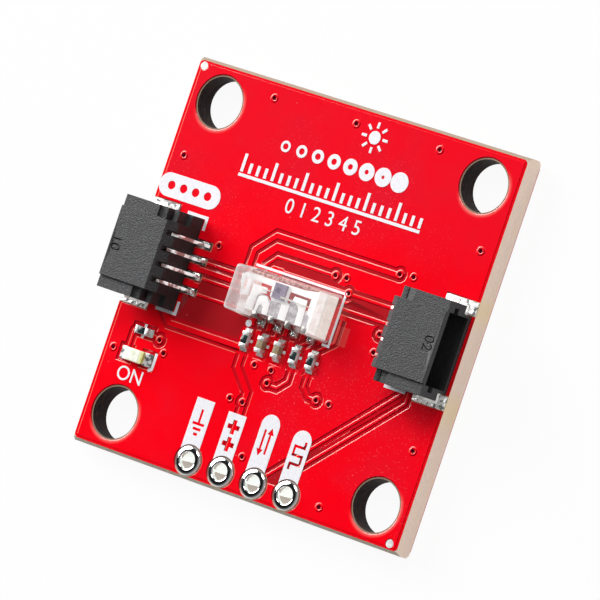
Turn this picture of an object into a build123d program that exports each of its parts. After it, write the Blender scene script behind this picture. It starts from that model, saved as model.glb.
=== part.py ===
from build123d import *

import os

# Light sensor module: a small square circuit board with a clear sensor in its middle, a cable
# socket at each side, a power light, seven small chips and a row of four header holes.
# Sizes are in millimetres. The origin is the middle of the board's underside, the sockets face
# along X, the header row lies along the -Y edge and +Z points out of the board's face.

# Board
board_length = 25.4
board_width = 25.2
board_thickness = 1.6
layer_thickness = 0.05
end_score_width = 0.14
side_score_width = 0.2
score_depth = 0.5
mask_corner_radius = 0.3
mounting_hole_end_inset = 2.54
mounting_hole_side_inset = 2.44
mounting_hole_radius = 1.65
mask_pullback = 0.1

# Relief of the copper under the lacquer
relief_depth = 0.03
copper_gap = 0.18
pour_inset = 0.33
signal_width = 0.25
power_width = 0.42
via_ring_radius = 0.32
via_hole_radius = 0.14
dimple_sides = 6
ring_sides = 12
dimple_depth = 0.03
mark_radius = 0.27
mark_side_inset = 0.55
mark_left_inset = 0.55
mark_right_inset = 0.75
edge_via_end_inset = 1.27
edge_via_side_inset = 1.17
edge_via_reach = 6.35

# Header row
header_count = 4
header_pitch = 2.54
header_side_inset = 1.17
ring_mask_gap = 0.07
header_hole_radius = 0.51
header_ring_radius = 0.94
barrel_wall = 0.05
ring_rise = 0.07

# Cable sockets
socket_face_inset = 0.215
socket_row_shift = -0.13
socket_row_y = -0.05
socket_ways = 4
socket_pitch = 1.0
socket_width = 6.0
socket_depth = 4.2
socket_height = 2.95
roof_side_inset = 0.75
roof_chamfer_depth = 0.6
roof_chamfer_drop = 0.55
shoulder_drop = 0.17
shoulder_back = 1.0
shoulder_step_back = 1.55
shoulder_step_drop = 0.22
post_drop = 0.7
post_back = 0.35
post_gap = 0.25
tail_block_height = 1.25
mouth_side_wall = 0.7
rear_wall = 1.1
roof_wall = 0.4
floor_wall = 0.35
key_width = 0.35
key_height = 0.45
key_drop = 0.45
key_back = 1.8
contact_width = 0.2
contact_thickness = 0.2
contact_height = 2.1
contact_tip_inset = 0.8
contact_bend = 0.18
contact_gap = 0.06
contact_tail_reach = 1.1
slot_depth = 0.45
anchor_thickness = 0.2
anchor_length = 1.7
anchor_front_inset = 0.35
anchor_height = 0.9
anchor_seat_width = 0.5
anchor_foot_reach = 0.15
anchor_pad_length = 1.85
anchor_pad_reach = 0.45
land_width = 0.5
land_overlap = 0.1
contact_solder_height = 0.14
anchor_solder_height = 0.18
solder_taper = 25.0

# Sensor
sensor_x = -0.2
sensor_y = -0.365
sensor_length = 6.7
sensor_width = 3.1
sensor_height = 2.35
sensor_draft_angle = 3.0
sensor_corner_radius = 0.25
upright_limit = 0.5
sensor_foot_width = 0.95
sensor_foot_reach = 0.35
lead_count = 4
lead_pitch = 1.27
lead_width = 0.42
lead_thickness = 0.15
lead_row_x = 0.0
lead_height = 1.05
lead_inner_y = 0.1
lead_drop_gap = 0.1
lead_bend = 0.08
lead_foot = 0.2
frame_bar_y = 0.72
frame_bar_width = 0.4
frame_bar_left = -3.25
frame_bar_right = 2.3
plate_width = 1.3
die_side = 1.05
die_height = 0.25
die_x = -0.6
die_y = 0.2
wire_width = 0.06
wire_rise = 0.2

# Small chips in a row below the sensor, and the chip that feeds the light
chip_length = 1.0
chip_width = 0.5
resistor_height = 0.35
capacitor_height = 0.5
terminal_length = 0.25
element_thickness = 0.02
terminal_wrap = 0.02
chip_row_y = -3.25
chip_row_pitch = 1.27
solder_reach = 0.22
fillet_share = 0.8
fillet_hollow = 0.38
pad_gap = 0.55
led_resistor_end_inset = 2.7
led_resistor_room_share = 0.32051

# Power light
led_end_inset = 2.75
led_room_share = 0.61722
led_length = 1.6
led_width = 0.8
led_base_height = 0.25
led_lens_height = 0.6
led_lens_length = 1.15
led_terminal_length = 0.3
led_notch_share = 0.22
led_lens_draft = 6.0
led_lens_rounding = 0.05
led_die_side = 0.25
led_die_height = 0.12
led_land_reach = 0.44

# Printed marks
ink_thickness = 0.02
ink_line = 0.2
label_width = 1.37
label_shift = -0.13
label_reaches = (3.91, 3.71, 4.38, 4.10)
badge_end_inset = 2.54
badge_y = 4.36
badge_length = 4.77
badge_width = 1.52
mark_gap = 0.02
sensor_mark_gap = 0.05
sensor_mark_start = 0.1
sensor_mark_return = 0.5
first_lead_mark_offset = (0.9, 0.67)
first_lead_mark_radius = 0.22
socket_mark_gap = 0.08
socket_mark_length = 1.6
socket_mark_return = 0.8
tick_gap = 0.11
light_mark_reach = (0.55, 0.45)
light_mark_hook = (0.25, 0.17)

core_top_z = board_thickness - layer_thickness
half_length = board_length / 2
half_width = board_width / 2
header_y = header_side_inset - half_width
led_resistor_x = led_resistor_end_inset - half_length
led_x = led_end_inset - half_length

# The light and its resistor share the room between the left socket and the hole at the corner
light_room_top = socket_row_y - socket_width / 2
light_room = light_room_top + half_width - mounting_hole_side_inset - mounting_hole_radius
led_resistor_y = light_room_top - led_resistor_room_share * light_room
led_y = light_room_top - led_room_share * light_room


def block(x_low, x_high, y_low, y_high, z_low, z_high):
    """Box between two corners."""
    size = (x_high - x_low, y_high - y_low, z_high - z_low)
    middle = ((x_low + x_high) / 2, (y_low + y_high) / 2, (z_low + z_high) / 2)
    return Pos(*middle) * Box(*size)


def patch(x_low, x_high, y_low, y_high):
    """Flat rectangle between two corners."""
    middle = Pos((x_low + x_high) / 2, (y_low + y_high) / 2)
    return middle * Rectangle(x_high - x_low, y_high - y_low)


def prism(sketch, z_low, z_high):
    """Upright prism of a flat sketch between two heights."""
    return extrude(Pos(0, 0, z_low) * sketch, z_high - z_low)


def profile_across(points, width):
    """Prism of a side profile, points (x, z), as wide as given and centred on y = 0."""
    outline = make_face(Polyline(*[(x, 0, z) for x, z in points], close=True))
    return extrude(outline, width / 2, dir=(0, 1, 0), both=True)


def join(shapes):
    """One shape of several."""
    first, *rest = shapes
    return first + rest if rest else first


def track(points, width):
    """Flat outline of a copper track, a line of one width with mitred corners."""
    path = [Vector(*point) for point in points]
    runs = [(end - start).normalized() for start, end in zip(path, path[1:])]
    left, right = [], []
    for index, point in enumerate(path):
        before = runs[max(index - 1, 0)]
        after = runs[min(index, len(runs) - 1)]
        along = (before + after).normalized()
        across = Vector(-along.Y, along.X)
        reach = width / 2 / across.dot(Vector(-after.Y, after.X))
        left.append(point + across * reach)
        right.append(point - across * reach)
    return make_face(Polyline(*left, *reversed(right), close=True))


# Places of the repeated features
header_spots = [(header_pitch * (i - (header_count - 1) / 2), header_y) for i in range(header_count)]
mounting_spots = [(x * (half_length - mounting_hole_end_inset),
                   y * (half_width - mounting_hole_side_inset))
                  for x in (-1, 1) for y in (-1, 1)]
copper_marks = [(mark_left_inset - half_length, half_width - mark_side_inset),
                (half_length - mark_right_inset, mark_side_inset - half_width)]
contact_rows = [socket_row_y + socket_pitch * (i - (socket_ways - 1) / 2) for i in range(socket_ways)]
socket_face_x = half_length - socket_face_inset
pad_inner_x = socket_face_x - socket_depth - contact_tail_reach - land_overlap
pad_outer_x = socket_face_x - socket_depth + land_overlap
lead_rows = [lead_row_x + lead_pitch * (i - (lead_count - 1) / 2) for i in range(lead_count)]
lead_face_y = sensor_y - sensor_width / 2 + sensor_foot_reach
lead_drop_y = lead_face_y - lead_drop_gap - lead_thickness / 2
lead_tip_y = lead_drop_y - lead_thickness / 2 - lead_foot
row_spots = [(chip_row_pitch * i, chip_row_y) for i in (-2, -1, 0, 1, 2)]
resistor_columns = (0, 3, 4)
capacitor_columns = (1, 2)
left_tail_x = socket_row_shift - pad_inner_x
right_tail_x = socket_row_shift + pad_inner_x

# Vias that carry a track, and vias that tie the ground areas of the two faces
light_via = (led_resistor_x + 1.3, led_resistor_y - 0.22)
track_vias = [(6.5, 3.5), (2.1, 2.22), (3.42, 1.42), (6.5, -0.35), (-0.12, -5.37), (3.67, -5.37),
              (-1.38, -6.97), light_via]
edge_via_x = half_length - edge_via_end_inset
edge_via_y = half_width - edge_via_side_inset
ground_vias = [(x, edge_via_y) for x in (-edge_via_reach, 0, edge_via_reach)]
ground_vias += [(edge_via_x, -edge_via_reach), (edge_via_x, edge_via_reach),
                (-edge_via_x, edge_via_reach), (edge_via_reach, -edge_via_y)]
ground_vias += [(-0.12, header_y + 1.31), (7.5, 3.6), (2.95, 2.27), (6.5, -1.5), (-6.75, 1.68),
                (-1.42, -4.55), (-0.12, -4.55), (4.65, -5.37), (-2.35, -6.97),
                (led_x - 1.9, led_y + 0.09), (led_x + 1.85, led_y + 0.7)]

# Copper tracks on the face, each a width and the corners of its middle line
sensor_end_y = lead_tip_y - 0.1
inner_drop_x, outer_drop_x, drop_end_y = 9.35, 9.85, -2.6
inner_row_x, outer_row_x = header_spots[2][0], header_spots[3][0]
outer_bend_y = header_y + 1.59
tracks = [
    (power_width, [(-4.15, 0.9), (-4.15, 2.17), (-2.9, 3.42), (6.5, 3.42)]),
    (signal_width, [(-3.1, 1.35), (-2.35, 2.17), (2.1, 2.17)]),
    (signal_width, [(-1.6, 1.4), (right_tail_x + 0.4, 1.4)]),
    (signal_width, [(3.3, 0.4), (right_tail_x + 0.4, 0.4)]),
    (signal_width, [(6.5, -0.35), (6.75, -0.55), (right_tail_x + 0.4, -0.55)]),
    (signal_width, [(left_tail_x - 0.4, 0.42), (-3.0, 0.42)]),
    (signal_width, [(left_tail_x - 0.4, -0.58), (-3.0, -0.58)]),
    (signal_width, [(left_tail_x - 0.4, -1.6), (-3.0, -1.6)]),
    (power_width, [(-9.2, -3.05), (-8.45, -3.8), (-2.54, -3.8)]),
    (power_width, [(-2.56, -3.8), (-2.56, -5.0), (-1.3, -6.3), (-1.3, header_y)]),
    (signal_width, [(1.27, -3.8), (1.27, -4.85), (0.65, -5.47), (-0.12, -5.47)]),
    (signal_width, [(2.54, -3.8), (2.54, -4.85), (3.06, -5.37), (3.67, -5.37)]),
    (signal_width, [(inner_row_x, header_y), (inner_drop_x, header_y + inner_drop_x - inner_row_x),
                    (inner_drop_x, drop_end_y)]),
    (signal_width, [(outer_row_x, header_y), (outer_row_x, outer_bend_y),
                    (outer_drop_x, outer_bend_y + outer_drop_x - outer_row_x),
                    (outer_drop_x, drop_end_y)]),
    (signal_width, [(1.27, -2.6), (1.905, sensor_end_y)]),
    (signal_width, [(2.54, -2.6), (3.6, -1.7), (3.6, -0.3)]),
    (signal_width, [(-0.635, sensor_end_y), (-0.635, -2.55), (-1.27, -2.75)]),
    (signal_width, [(led_resistor_x - 0.6, led_resistor_y),
                    (led_resistor_x - 0.75, led_resistor_y - 0.15),
                    (led_resistor_x - 0.75, led_y + 0.02)]),
    (signal_width, [(led_resistor_x + 0.6, led_resistor_y - 0.05), light_via]),
]

# Areas with no copper, where the lacquer lies on the laminate
bare_inner_x, bare_inner_rise, bare_outer_x = 9.0, 7.1, 9.62
bare_areas = [
    [(-2.75, 1.62), (-2.25, 2.03), (2.3, 2.03), (2.6, 1.62)],
    [(3.5, 0.62), (7.9, 0.62), (7.9, 1.2), (3.9, 1.2)],
    [(-7.2, -0.8), (-2.9, -0.8), (-2.9, -1.38), (-7.2, -1.38)],
    [(-8.1, -1.82), (-2.9, -1.82), (-2.9, -2.4), (-3.1, -3.5), (-8.1, -3.5)],
    [(1.9, header_y + 0.35), (bare_inner_x, header_y + bare_inner_rise), (9.5, -3.9),
     (9.5, -3.3), (bare_outer_x, -3.3), (bare_outer_x, outer_bend_y + bare_outer_x - 3.53),
     (3.6, outer_bend_y + 0.07), (3.6, header_y + 0.35)],
]


def pads():
    """Flat outlines of the lands that the chips, the light, the sensor and the sockets stand on."""
    lands = []
    half_land = chip_length / 2 + solder_reach
    for x, y in row_spots:
        for side in (-1, 1):
            inner, outer = sorted((side * pad_gap / 2, side * half_land))
            lands.append(patch(x - chip_width / 2, x + chip_width / 2, y + inner, y + outer))
    for side in (-1, 1):
        inner, outer = sorted((side * pad_gap / 2, side * half_land))
        lands.append(patch(led_resistor_x + inner, led_resistor_x + outer,
                           led_resistor_y - chip_width / 2, led_resistor_y + chip_width / 2))
        inner = side * (led_length / 2 - led_terminal_length)
        outer = side * (led_length / 2 + led_land_reach)
        low, high = sorted((inner, outer))
        lands.append(patch(led_x + low, led_x + high, led_y - led_width / 2, led_y + led_width / 2))
    for x in lead_rows:
        lands.append(patch(x - lead_width / 2 - 0.05, x + lead_width / 2 + 0.05,
                           lead_tip_y - solder_reach, lead_face_y))
    return lands


def copper():
    """Flat outline of the tracks, their via rings and the lands, as one sketch."""
    shapes = [track(points, width) for width, points in tracks]
    shapes += [Pos(x, y) * RegularPolygon(via_ring_radius, ring_sides) for x, y in track_vias]
    return join(shapes + pads())


def clearances():
    """Flat outline of the strips round the tracks, rings and lands where there is no copper."""
    shapes = [track(points, width + 2 * copper_gap) for width, points in tracks]
    shapes += [Pos(x, y) * RegularPolygon(via_ring_radius + copper_gap, ring_sides)
               for x, y in track_vias]
    shapes += [offset(land, copper_gap, kind=Kind.INTERSECTION) for land in pads()]
    shapes += [make_face(Polyline(*points, close=True)) for points in bare_areas]
    return join(shapes)


def anchor_lands():
    """Flat outlines of the lands of the sockets' anchors, which reach the board's ends."""
    lands = []
    for turn in (-1, 1):
        face = socket_row_shift + turn * socket_face_x
        outer = turn * (half_length - end_score_width)
        inner = face - turn * (anchor_front_inset + anchor_pad_length)
        for side in (-1, 1):
            near = socket_row_y + side * (socket_width / 2 - anchor_seat_width)
            far = socket_row_y + side * (socket_width / 2 + anchor_pad_reach)
            lands.append(patch(*sorted((inner, outer)), *sorted((near, far))))
    return lands


def contact_lands():
    """Flat outlines of the lands of the sockets' contacts."""
    lands = []
    for turn in (-1, 1):
        low, high = sorted(socket_row_shift + turn * x for x in (pad_inner_x, pad_outer_x))
        for y in contact_rows:
            lands.append(patch(low, high, y - land_width / 2, y + land_width / 2))
    return lands


def board_core():
    """Glass laminate with scored edges, mounting holes and the drilled header holes."""
    low, high = layer_thickness, core_top_z
    web_low, web_high = score_depth, board_thickness - score_depth
    ends = half_length - end_score_width
    sides = half_width - side_score_width
    across = profile_across([(-ends, low), (-half_length, web_low), (-half_length, web_high),
                             (-ends, high), (ends, high), (half_length, web_high),
                             (half_length, web_low), (ends, low)], board_width)
    along = profile_across([(-sides, low), (-half_width, web_low), (-half_width, web_high),
                            (-sides, high), (sides, high), (half_width, web_high),
                            (half_width, web_low), (sides, low)], board_length)
    core = across & (Rot(0, 0, 90) * along)
    drill = board_thickness * 2
    holes = [Pos(x, y) * Cylinder(mounting_hole_radius, drill) for x, y in mounting_spots]
    holes += [Pos(x, y) * Cylinder(header_hole_radius + barrel_wall, drill) for x, y in header_spots]
    return core - holes


def mask_outline():
    """Flat outline of the lacquer on one face, open at the mounting holes."""
    outline = RectangleRounded(board_length - 2 * end_score_width, board_width - 2 * side_score_width,
                               mask_corner_radius)
    rim = mounting_hole_radius + mask_pullback
    rings = header_ring_radius + ring_mask_gap
    openings = [Pos(x, y) * Circle(rim) for x, y in mounting_spots]
    openings += [Pos(x, y) * Circle(rings) for x, y in header_spots]
    return outline - openings


def mask_top():
    """Lacquer and copper of the face: lower where there is no copper, open at every land."""
    sheet = prism(mask_outline(), core_top_z, board_thickness)
    pour = patch(pour_inset - half_length, half_length - pour_inset,
                 pour_inset - half_width, half_width - pour_inset)
    margin = patch(-half_length, half_length, -half_width, half_width) - pour
    low = join([margin, clearances()]) - copper()
    sheet -= prism(low, board_thickness - relief_depth, board_thickness + relief_depth)
    openings = pads() + contact_lands() + anchor_lands() + mark_spots()
    sheet -= prism(join(openings), core_top_z - relief_depth, board_thickness + relief_depth)
    dimples = [Pos(x, y) * RegularPolygon(via_hole_radius, dimple_sides)
               for x, y in track_vias + ground_vias]
    return sheet - prism(join(dimples), board_thickness - dimple_depth, board_thickness)


def mask_bottom():
    """Lacquer and copper of the underside."""
    return prism(mask_outline(), 0, layer_thickness)


def mark_spots():
    """Flat outlines of the two round bare copper marks in opposite corners."""
    return [Pos(x, y) * RegularPolygon(mark_radius, ring_sides) for x, y in copper_marks]


def plated_hole(x, y):
    """Tinned barrel of a header hole with its ring on each face, domed on the top one."""
    wall = header_hole_radius + barrel_wall
    crown = board_thickness + ring_rise
    bevel = (header_ring_radius - header_hole_radius) / 2
    with BuildPart() as barrel:
        with BuildSketch(Plane.XZ):
            with BuildLine():
                Polyline((header_hole_radius, 0), (header_ring_radius, 0),
                         (header_ring_radius, layer_thickness), (wall, layer_thickness),
                         (wall, core_top_z), (header_ring_radius, core_top_z),
                         (header_ring_radius - bevel, crown), (header_hole_radius, board_thickness),
                         close=True)
            make_face()
        revolve(axis=Axis.Z)
    return Pos(x, y) * barrel.part


def at_socket(turn, shape):
    """Moves a shape from a socket's own frame to the left (-1) or right (1) end of the board."""
    place = Pos(socket_row_shift + turn * socket_face_x, socket_row_y, board_thickness)
    return place * Rot(0, 0, 0 if turn > 0 else 180) * shape


def slab(depth_from, depth_to, y_from, y_to, z_low, z_high):
    """Block in a socket's frame, its depths counted inwards from the mating face."""
    return block(-depth_to, -depth_from, *sorted((y_from, y_to)), z_low, z_high)


def housing():
    """Moulded housing of a socket, open at its face, in the socket's own frame."""
    half = socket_width / 2
    roof_half = half - roof_side_inset
    roof_depth = socket_depth - roof_chamfer_depth
    body = profile_across([(0, 0), (0, socket_height), (-roof_depth, socket_height),
                           (-socket_depth, socket_height - roof_chamfer_drop), (-socket_depth, 0)],
                          2 * roof_half)
    shoulder_depth = socket_depth - shoulder_back
    shoulder_height = socket_height - shoulder_drop
    body += slab(0, socket_depth - shoulder_step_back, -half, half, 0, shoulder_height)
    body += slab(0, shoulder_depth, -half, half, 0, shoulder_height - shoulder_step_drop)
    body += slab(0, socket_depth - post_back, -half, half, 0, socket_height - post_drop)
    body += slab(0, socket_depth, -half, half, 0, tail_block_height)
    body -= [slab(shoulder_depth, shoulder_depth + post_gap, side * roof_half, side * half,
                  tail_block_height, socket_height) for side in (-1, 1)]
    ceiling = socket_height - roof_wall
    mouth_half = half - mouth_side_wall
    body -= slab(0, socket_depth - rear_wall, -mouth_half, mouth_half, floor_wall, ceiling)
    key_half = mouth_half + key_width
    body -= slab(0, socket_depth - key_back, -key_half, key_half, ceiling - key_drop - key_height,
                 ceiling - key_drop)
    seat = anchor_front_inset + anchor_length
    body -= [slab(0, seat, side * (half - anchor_seat_width), side * half, 0, anchor_height)
             for side in (-1, 1)]
    blade = contact_thickness / 2
    for row in contact_rows:
        y = row - socket_row_y
        hole = contact_width / 2
        body -= slab(0, socket_depth, y - hole, y + hole, contact_height - blade,
                     contact_height + blade)
        slot = contact_width / 2 + contact_gap
        body -= slab(socket_depth - slot_depth, socket_depth, y - slot, y + slot,
                     contact_height - blade - contact_gap, socket_height)
    return body


def bent_strip(points, bend, width, thickness):
    """Flat metal strip in the XZ plane, centred on y = 0, each bend pressed as two small folds."""
    path = [Vector(*point) for point in points]
    corners = [path[0]]
    for before, corner, after in zip(path, path[1:], path[2:]):
        corners.append(corner + (before - corner).normalized() * bend)
        corners.append(corner + (after - corner).normalized() * bend)
    corners.append(path[-1])
    side = track([(corner.X, corner.Y) for corner in corners], thickness)
    return extrude(Rot(90, 0, 0) * side, width / 2, dir=(0, 1, 0), both=True)


def contact(y):
    """Contact of a socket: a blade in the mouth, a drop behind the housing and a foot."""
    drop = socket_depth + contact_gap + contact_thickness / 2
    foot = contact_thickness / 2
    return Pos(0, y) * bent_strip([(-contact_tip_inset, contact_height), (-drop, contact_height),
                                   (-drop, foot), (-socket_depth - contact_tail_reach, foot)],
                                  contact_bend, contact_width, contact_thickness)


def anchor(side):
    """Soldered angle that holds a socket down, in the seat at one side of its housing."""
    half = socket_width / 2
    inner = side * (half - anchor_seat_width)
    front, rear = anchor_front_inset, anchor_front_inset + anchor_length
    foot = slab(front, rear, inner, side * (half + anchor_foot_reach), 0, anchor_thickness)
    wall = slab(front, rear, inner, inner + side * anchor_thickness, 0, anchor_height)
    return foot + wall


def mound(land, height, taper):
    """Solder that fills a land's opening in the lacquer and rises from it with sloped sides."""
    base = prism(land, core_top_z, board_thickness)
    return base + extrude(Pos(0, 0, board_thickness) * land, height, taper=taper)


def socket_solder(turn, metal, body):
    """Solder round the feet and anchors of one socket."""
    solder = []
    for land in contact_lands() + anchor_lands():
        if land.center().X * turn > 0:
            size = land.bounding_box().size
            height = contact_solder_height if size.Y < 2 * land_width else anchor_solder_height
            solder.append(mound(land, height, solder_taper) - metal - [body])
    return Compound(children=[solid for joint in solder for solid in joint.solids()])


def sensor_metal():
    """Leads of the sensor with the plates, the bar and the die's seat of its lead frame."""
    top = board_thickness + lead_height
    foot = board_thickness + lead_thickness / 2
    finger = bent_strip([(lead_inner_y, top), (lead_drop_y, top), (lead_drop_y, foot),
                         (lead_tip_y, foot)], lead_bend, lead_width, lead_thickness)
    leads = [Pos(x, 0) * Rot(0, 0, 90) * finger for x in lead_rows]
    low, high = top - lead_thickness / 2, top + lead_thickness / 2
    gap = copper_gap
    seat = block(die_x - die_side / 2, die_x + die_side / 2, lead_inner_y - 0.45,
                 frame_bar_y, low, high)
    bar = block(frame_bar_left, frame_bar_right, frame_bar_y - frame_bar_width / 2,
                frame_bar_y + frame_bar_width / 2, low, high)
    plate_floor = lead_face_y + 0.35
    outer = [(lead_rows[0] + lead_width / 2 + gap - plate_width, lead_rows[0] + lead_width / 2),
             (lead_rows[-1] - lead_width / 2, lead_rows[-1] - lead_width / 2 + plate_width)]
    leads[0] += block(*outer[0], plate_floor, lead_inner_y + 0.2, low, high)
    leads[-1] += block(*outer[1], plate_floor, lead_inner_y + 0.2, low, high)
    leads[1] += seat + bar
    return leads


def die():
    """Light-sensing die on its seat."""
    low = board_thickness + lead_height + lead_thickness / 2
    return block(die_x - die_side / 2, die_x + die_side / 2, die_y - die_side / 2,
                 die_y + die_side / 2, low, low + die_height)


def bond_wires():
    """Bond wires from the die's top down to the outer leads, three flat-sided arches."""
    base = board_thickness + lead_height + lead_thickness / 2
    top = base + die_height
    wires = []
    for index, way in ((0, -1), (2, 1), (3, 1)):
        landing = lead_rows[index]
        y = lead_inner_y - wire_width * (1 + index)
        start = die_x + way * die_side * 0.4
        crest = top + wire_rise
        outline = [(start - way * wire_width, top), (start, crest), (landing, base + wire_width),
                   (landing, base), (landing - way * wire_width, base),
                   (start + way * wire_width, crest - wire_width), (start, top)]
        arch = make_face(Polyline(*[(x, y, z) for x, z in outline], close=True))
        wires.append(extrude(arch, wire_width / 2, dir=(0, 1, 0), both=True))
    return wires


def edges_between(faces):
    """Edges that two of the given faces share."""
    rims = [edge for face in faces for edge in face.edges()]
    return [edge for index, edge in enumerate(rims) if edge in rims[:index]]


def sensor_package(inside):
    """Clear moulded body of the sensor, with a foot at each end of its lead side."""
    face = lead_face_y - sensor_y
    recess_half = sensor_length / 2 - sensor_foot_width
    body = extrude(Rectangle(sensor_length, sensor_width), sensor_height, taper=sensor_draft_angle)
    upright = body.faces().filter_by(lambda side: abs(side.normal_at().Z) < upright_limit)
    body = fillet(edges_between(upright), sensor_corner_radius)
    body -= block(-recess_half, recess_half, -sensor_width, face, 0, sensor_height)
    return Pos(sensor_x, sensor_y, board_thickness) * body - inside


def chip_frame(x, y, turned):
    """Place of a small chip: its length along Y, or along X where it is turned."""
    return Pos(x, y, board_thickness) * Rot(0, 0, 90 if turned else 0)


def caps(length, width, height, reach):
    """Two end caps that wrap a body's ends, lengths along Y."""
    shell = Box(width, length, height, align=(Align.CENTER, Align.CENTER, Align.MIN))
    core = Box(width - 2 * terminal_wrap, length - 2 * terminal_wrap, height - 2 * terminal_wrap,
               align=(Align.CENTER, Align.CENTER, Align.MIN))
    waist = Box(width, length - 2 * reach, height, align=(Align.CENTER, Align.CENTER, Align.MIN))
    return shell - Pos(0, 0, terminal_wrap) * core - waist


def chip_core(length, width, height):
    """Ceramic body of a chip, inside its end caps."""
    return Pos(0, 0, terminal_wrap) * Box(width - 2 * terminal_wrap, length - 2 * terminal_wrap,
                                          height - 2 * terminal_wrap,
                                          align=(Align.CENTER, Align.CENTER, Align.MIN))


def element():
    """Dark resistive layer on top of a resistor, between its end caps."""
    low = resistor_height - terminal_wrap
    return Pos(0, 0, low) * Box(chip_width - 4 * terminal_wrap, chip_length - 2 * terminal_length,
                                element_thickness, align=(Align.CENTER, Align.CENTER, Align.MIN))


def end_joints(length, width, height, inner, reach):
    """Solder at both ends of a chip, in its own frame: a filled land under a hollow-sided wedge."""
    rise = height * fillet_share
    run = reach * 0.9
    end = length / 2
    middle = (0, end + run * fillet_hollow, rise * fillet_hollow)
    arc = ThreePointArc((0, end + run, 0), middle, (0, end, rise))
    wedge = make_face([arc, Line((0, end, rise), (0, end, 0)), Line((0, end, 0), (0, end + run, 0))])
    joint = extrude(wedge, width / 2, dir=(1, 0, 0), both=True)
    joint += block(-width / 2, width / 2, inner, end + reach, -layer_thickness, 0)
    return [joint, Rot(0, 0, 180) * joint]


def land_fill(lands):
    """Thin solder that fills openings in the lacquer up to its top."""
    return [prism(land, core_top_z, board_thickness) for land in lands]


def led_parts():
    """Base, lens, end terminals and die of the power light, in a frame with its length along Y."""
    half = led_length / 2
    middle = (Align.CENTER, Align.CENTER, Align.MIN)
    base = Box(led_width, led_length - 2 * terminal_wrap, led_base_height, align=middle)
    terminals = []
    for side in (-1, 1):
        near = side * (half - led_terminal_length)
        plate = block(-led_width / 2, led_width / 2, *sorted((near, side * half)),
                      0, led_base_height + terminal_wrap)
        notch = Cylinder(led_width * led_notch_share, 2 * led_lens_height)
        terminals.append(plate - Pos(0, side * half) * notch)
    core = base - terminals
    floor = led_base_height
    outline = Rectangle(led_width, led_lens_length)
    lens = Pos(0, 0, floor) * extrude(outline, led_lens_height - floor, taper=led_lens_draft)
    lens = fillet(lens.edges().group_by(Axis.Z)[-1], led_lens_rounding)
    die_box = Pos(0, 0, floor) * Box(led_die_side, led_die_side, led_die_height, align=middle)
    terminals = [terminal - lens for terminal in terminals]
    return core, lens - die_box, terminals, die_box


def header_labels():
    """Flat outlines of the labels above the header holes, the last two with a round end."""
    labels = []
    clear = header_ring_radius + ring_mask_gap
    for index, (x, y) in enumerate(header_spots):
        middle, top = x + label_shift, y + label_reaches[index]
        low, high = middle - label_width / 2, middle + label_width / 2
        if index < header_count // 2:
            label = patch(low, high, y, top)
        else:
            end = top - label_width / 2
            label = patch(low, high, y, end) + Pos(middle, end) * Circle(label_width / 2)
        labels.append(label - Pos(x, y) * Circle(clear))
    return labels


def sensor_marks():
    """Flat outlines of the line round the sensor's far corner and of its first lead's dot."""
    right = sensor_x + (sensor_length + ink_line) / 2 + mark_gap
    top = sensor_y + (sensor_width + ink_line) / 2 + sensor_mark_gap
    low = sensor_y - (sensor_width + ink_line) / 2 - mark_gap
    line = track([(sensor_x - sensor_length / 2 - sensor_mark_start, top), (right, top),
                  (right, low), (right - sensor_mark_return, low)], ink_line)
    across, down = first_lead_mark_offset
    dot = RegularPolygon(first_lead_mark_radius, ring_sides)
    return [line, Pos(lead_rows[0] - across, lead_face_y - down) * dot]


def socket_marks():
    """Flat outlines of the corners printed behind the sockets."""
    shapes = []
    side = (socket_width + ink_line) / 2 + mark_gap
    rear = socket_face_x - socket_depth - ink_line / 2 - socket_mark_gap
    for turn, edge, points in ((-1, -1, 3), (-1, 1, 3), (1, -1, 2)):
        back = socket_row_shift + turn * rear
        front = back + turn * socket_mark_length
        corner = socket_row_y + edge * side
        path = [(front, corner), (back, corner), (back, corner - edge * socket_mark_return)]
        shapes.append(track(path[:points], ink_line))
    return shapes


def chip_marks():
    """Flat outlines of the ticks beside the chips and of the hooked line at the light's end."""
    tick = chip_width / 2 + tick_gap
    dot = Rectangle(ink_line, ink_line)
    shapes = [Pos(x + way * tick, y) * dot for x, y in row_spots for way in (-1, 1)]
    shapes += [Pos(led_resistor_x, led_resistor_y + way * tick) * dot for way in (-1, 1)]
    end = led_x + led_length / 2 + led_land_reach + ink_line / 2 + sensor_mark_gap
    above, below = light_mark_reach
    across, down = light_mark_hook
    shapes.append(track([(end, led_y + above), (end, led_y - below),
                         (end - across, led_y - below - down)], ink_line))
    return shapes


def printed_marks():
    """White printed marks: labels, corner lines, ticks and the wide label by the left socket."""
    badge = Pos(badge_end_inset - half_length, badge_y) * SlotOverall(badge_length, badge_width)
    shapes = header_labels() + [badge] + sensor_marks() + socket_marks() + chip_marks()
    return [prism(shape, board_thickness, board_thickness + ink_thickness) for shape in shapes]


def solids_of(shapes):
    """All solids of several shapes."""
    return [solid for shape in shapes for solid in shape.solids()]


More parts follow.
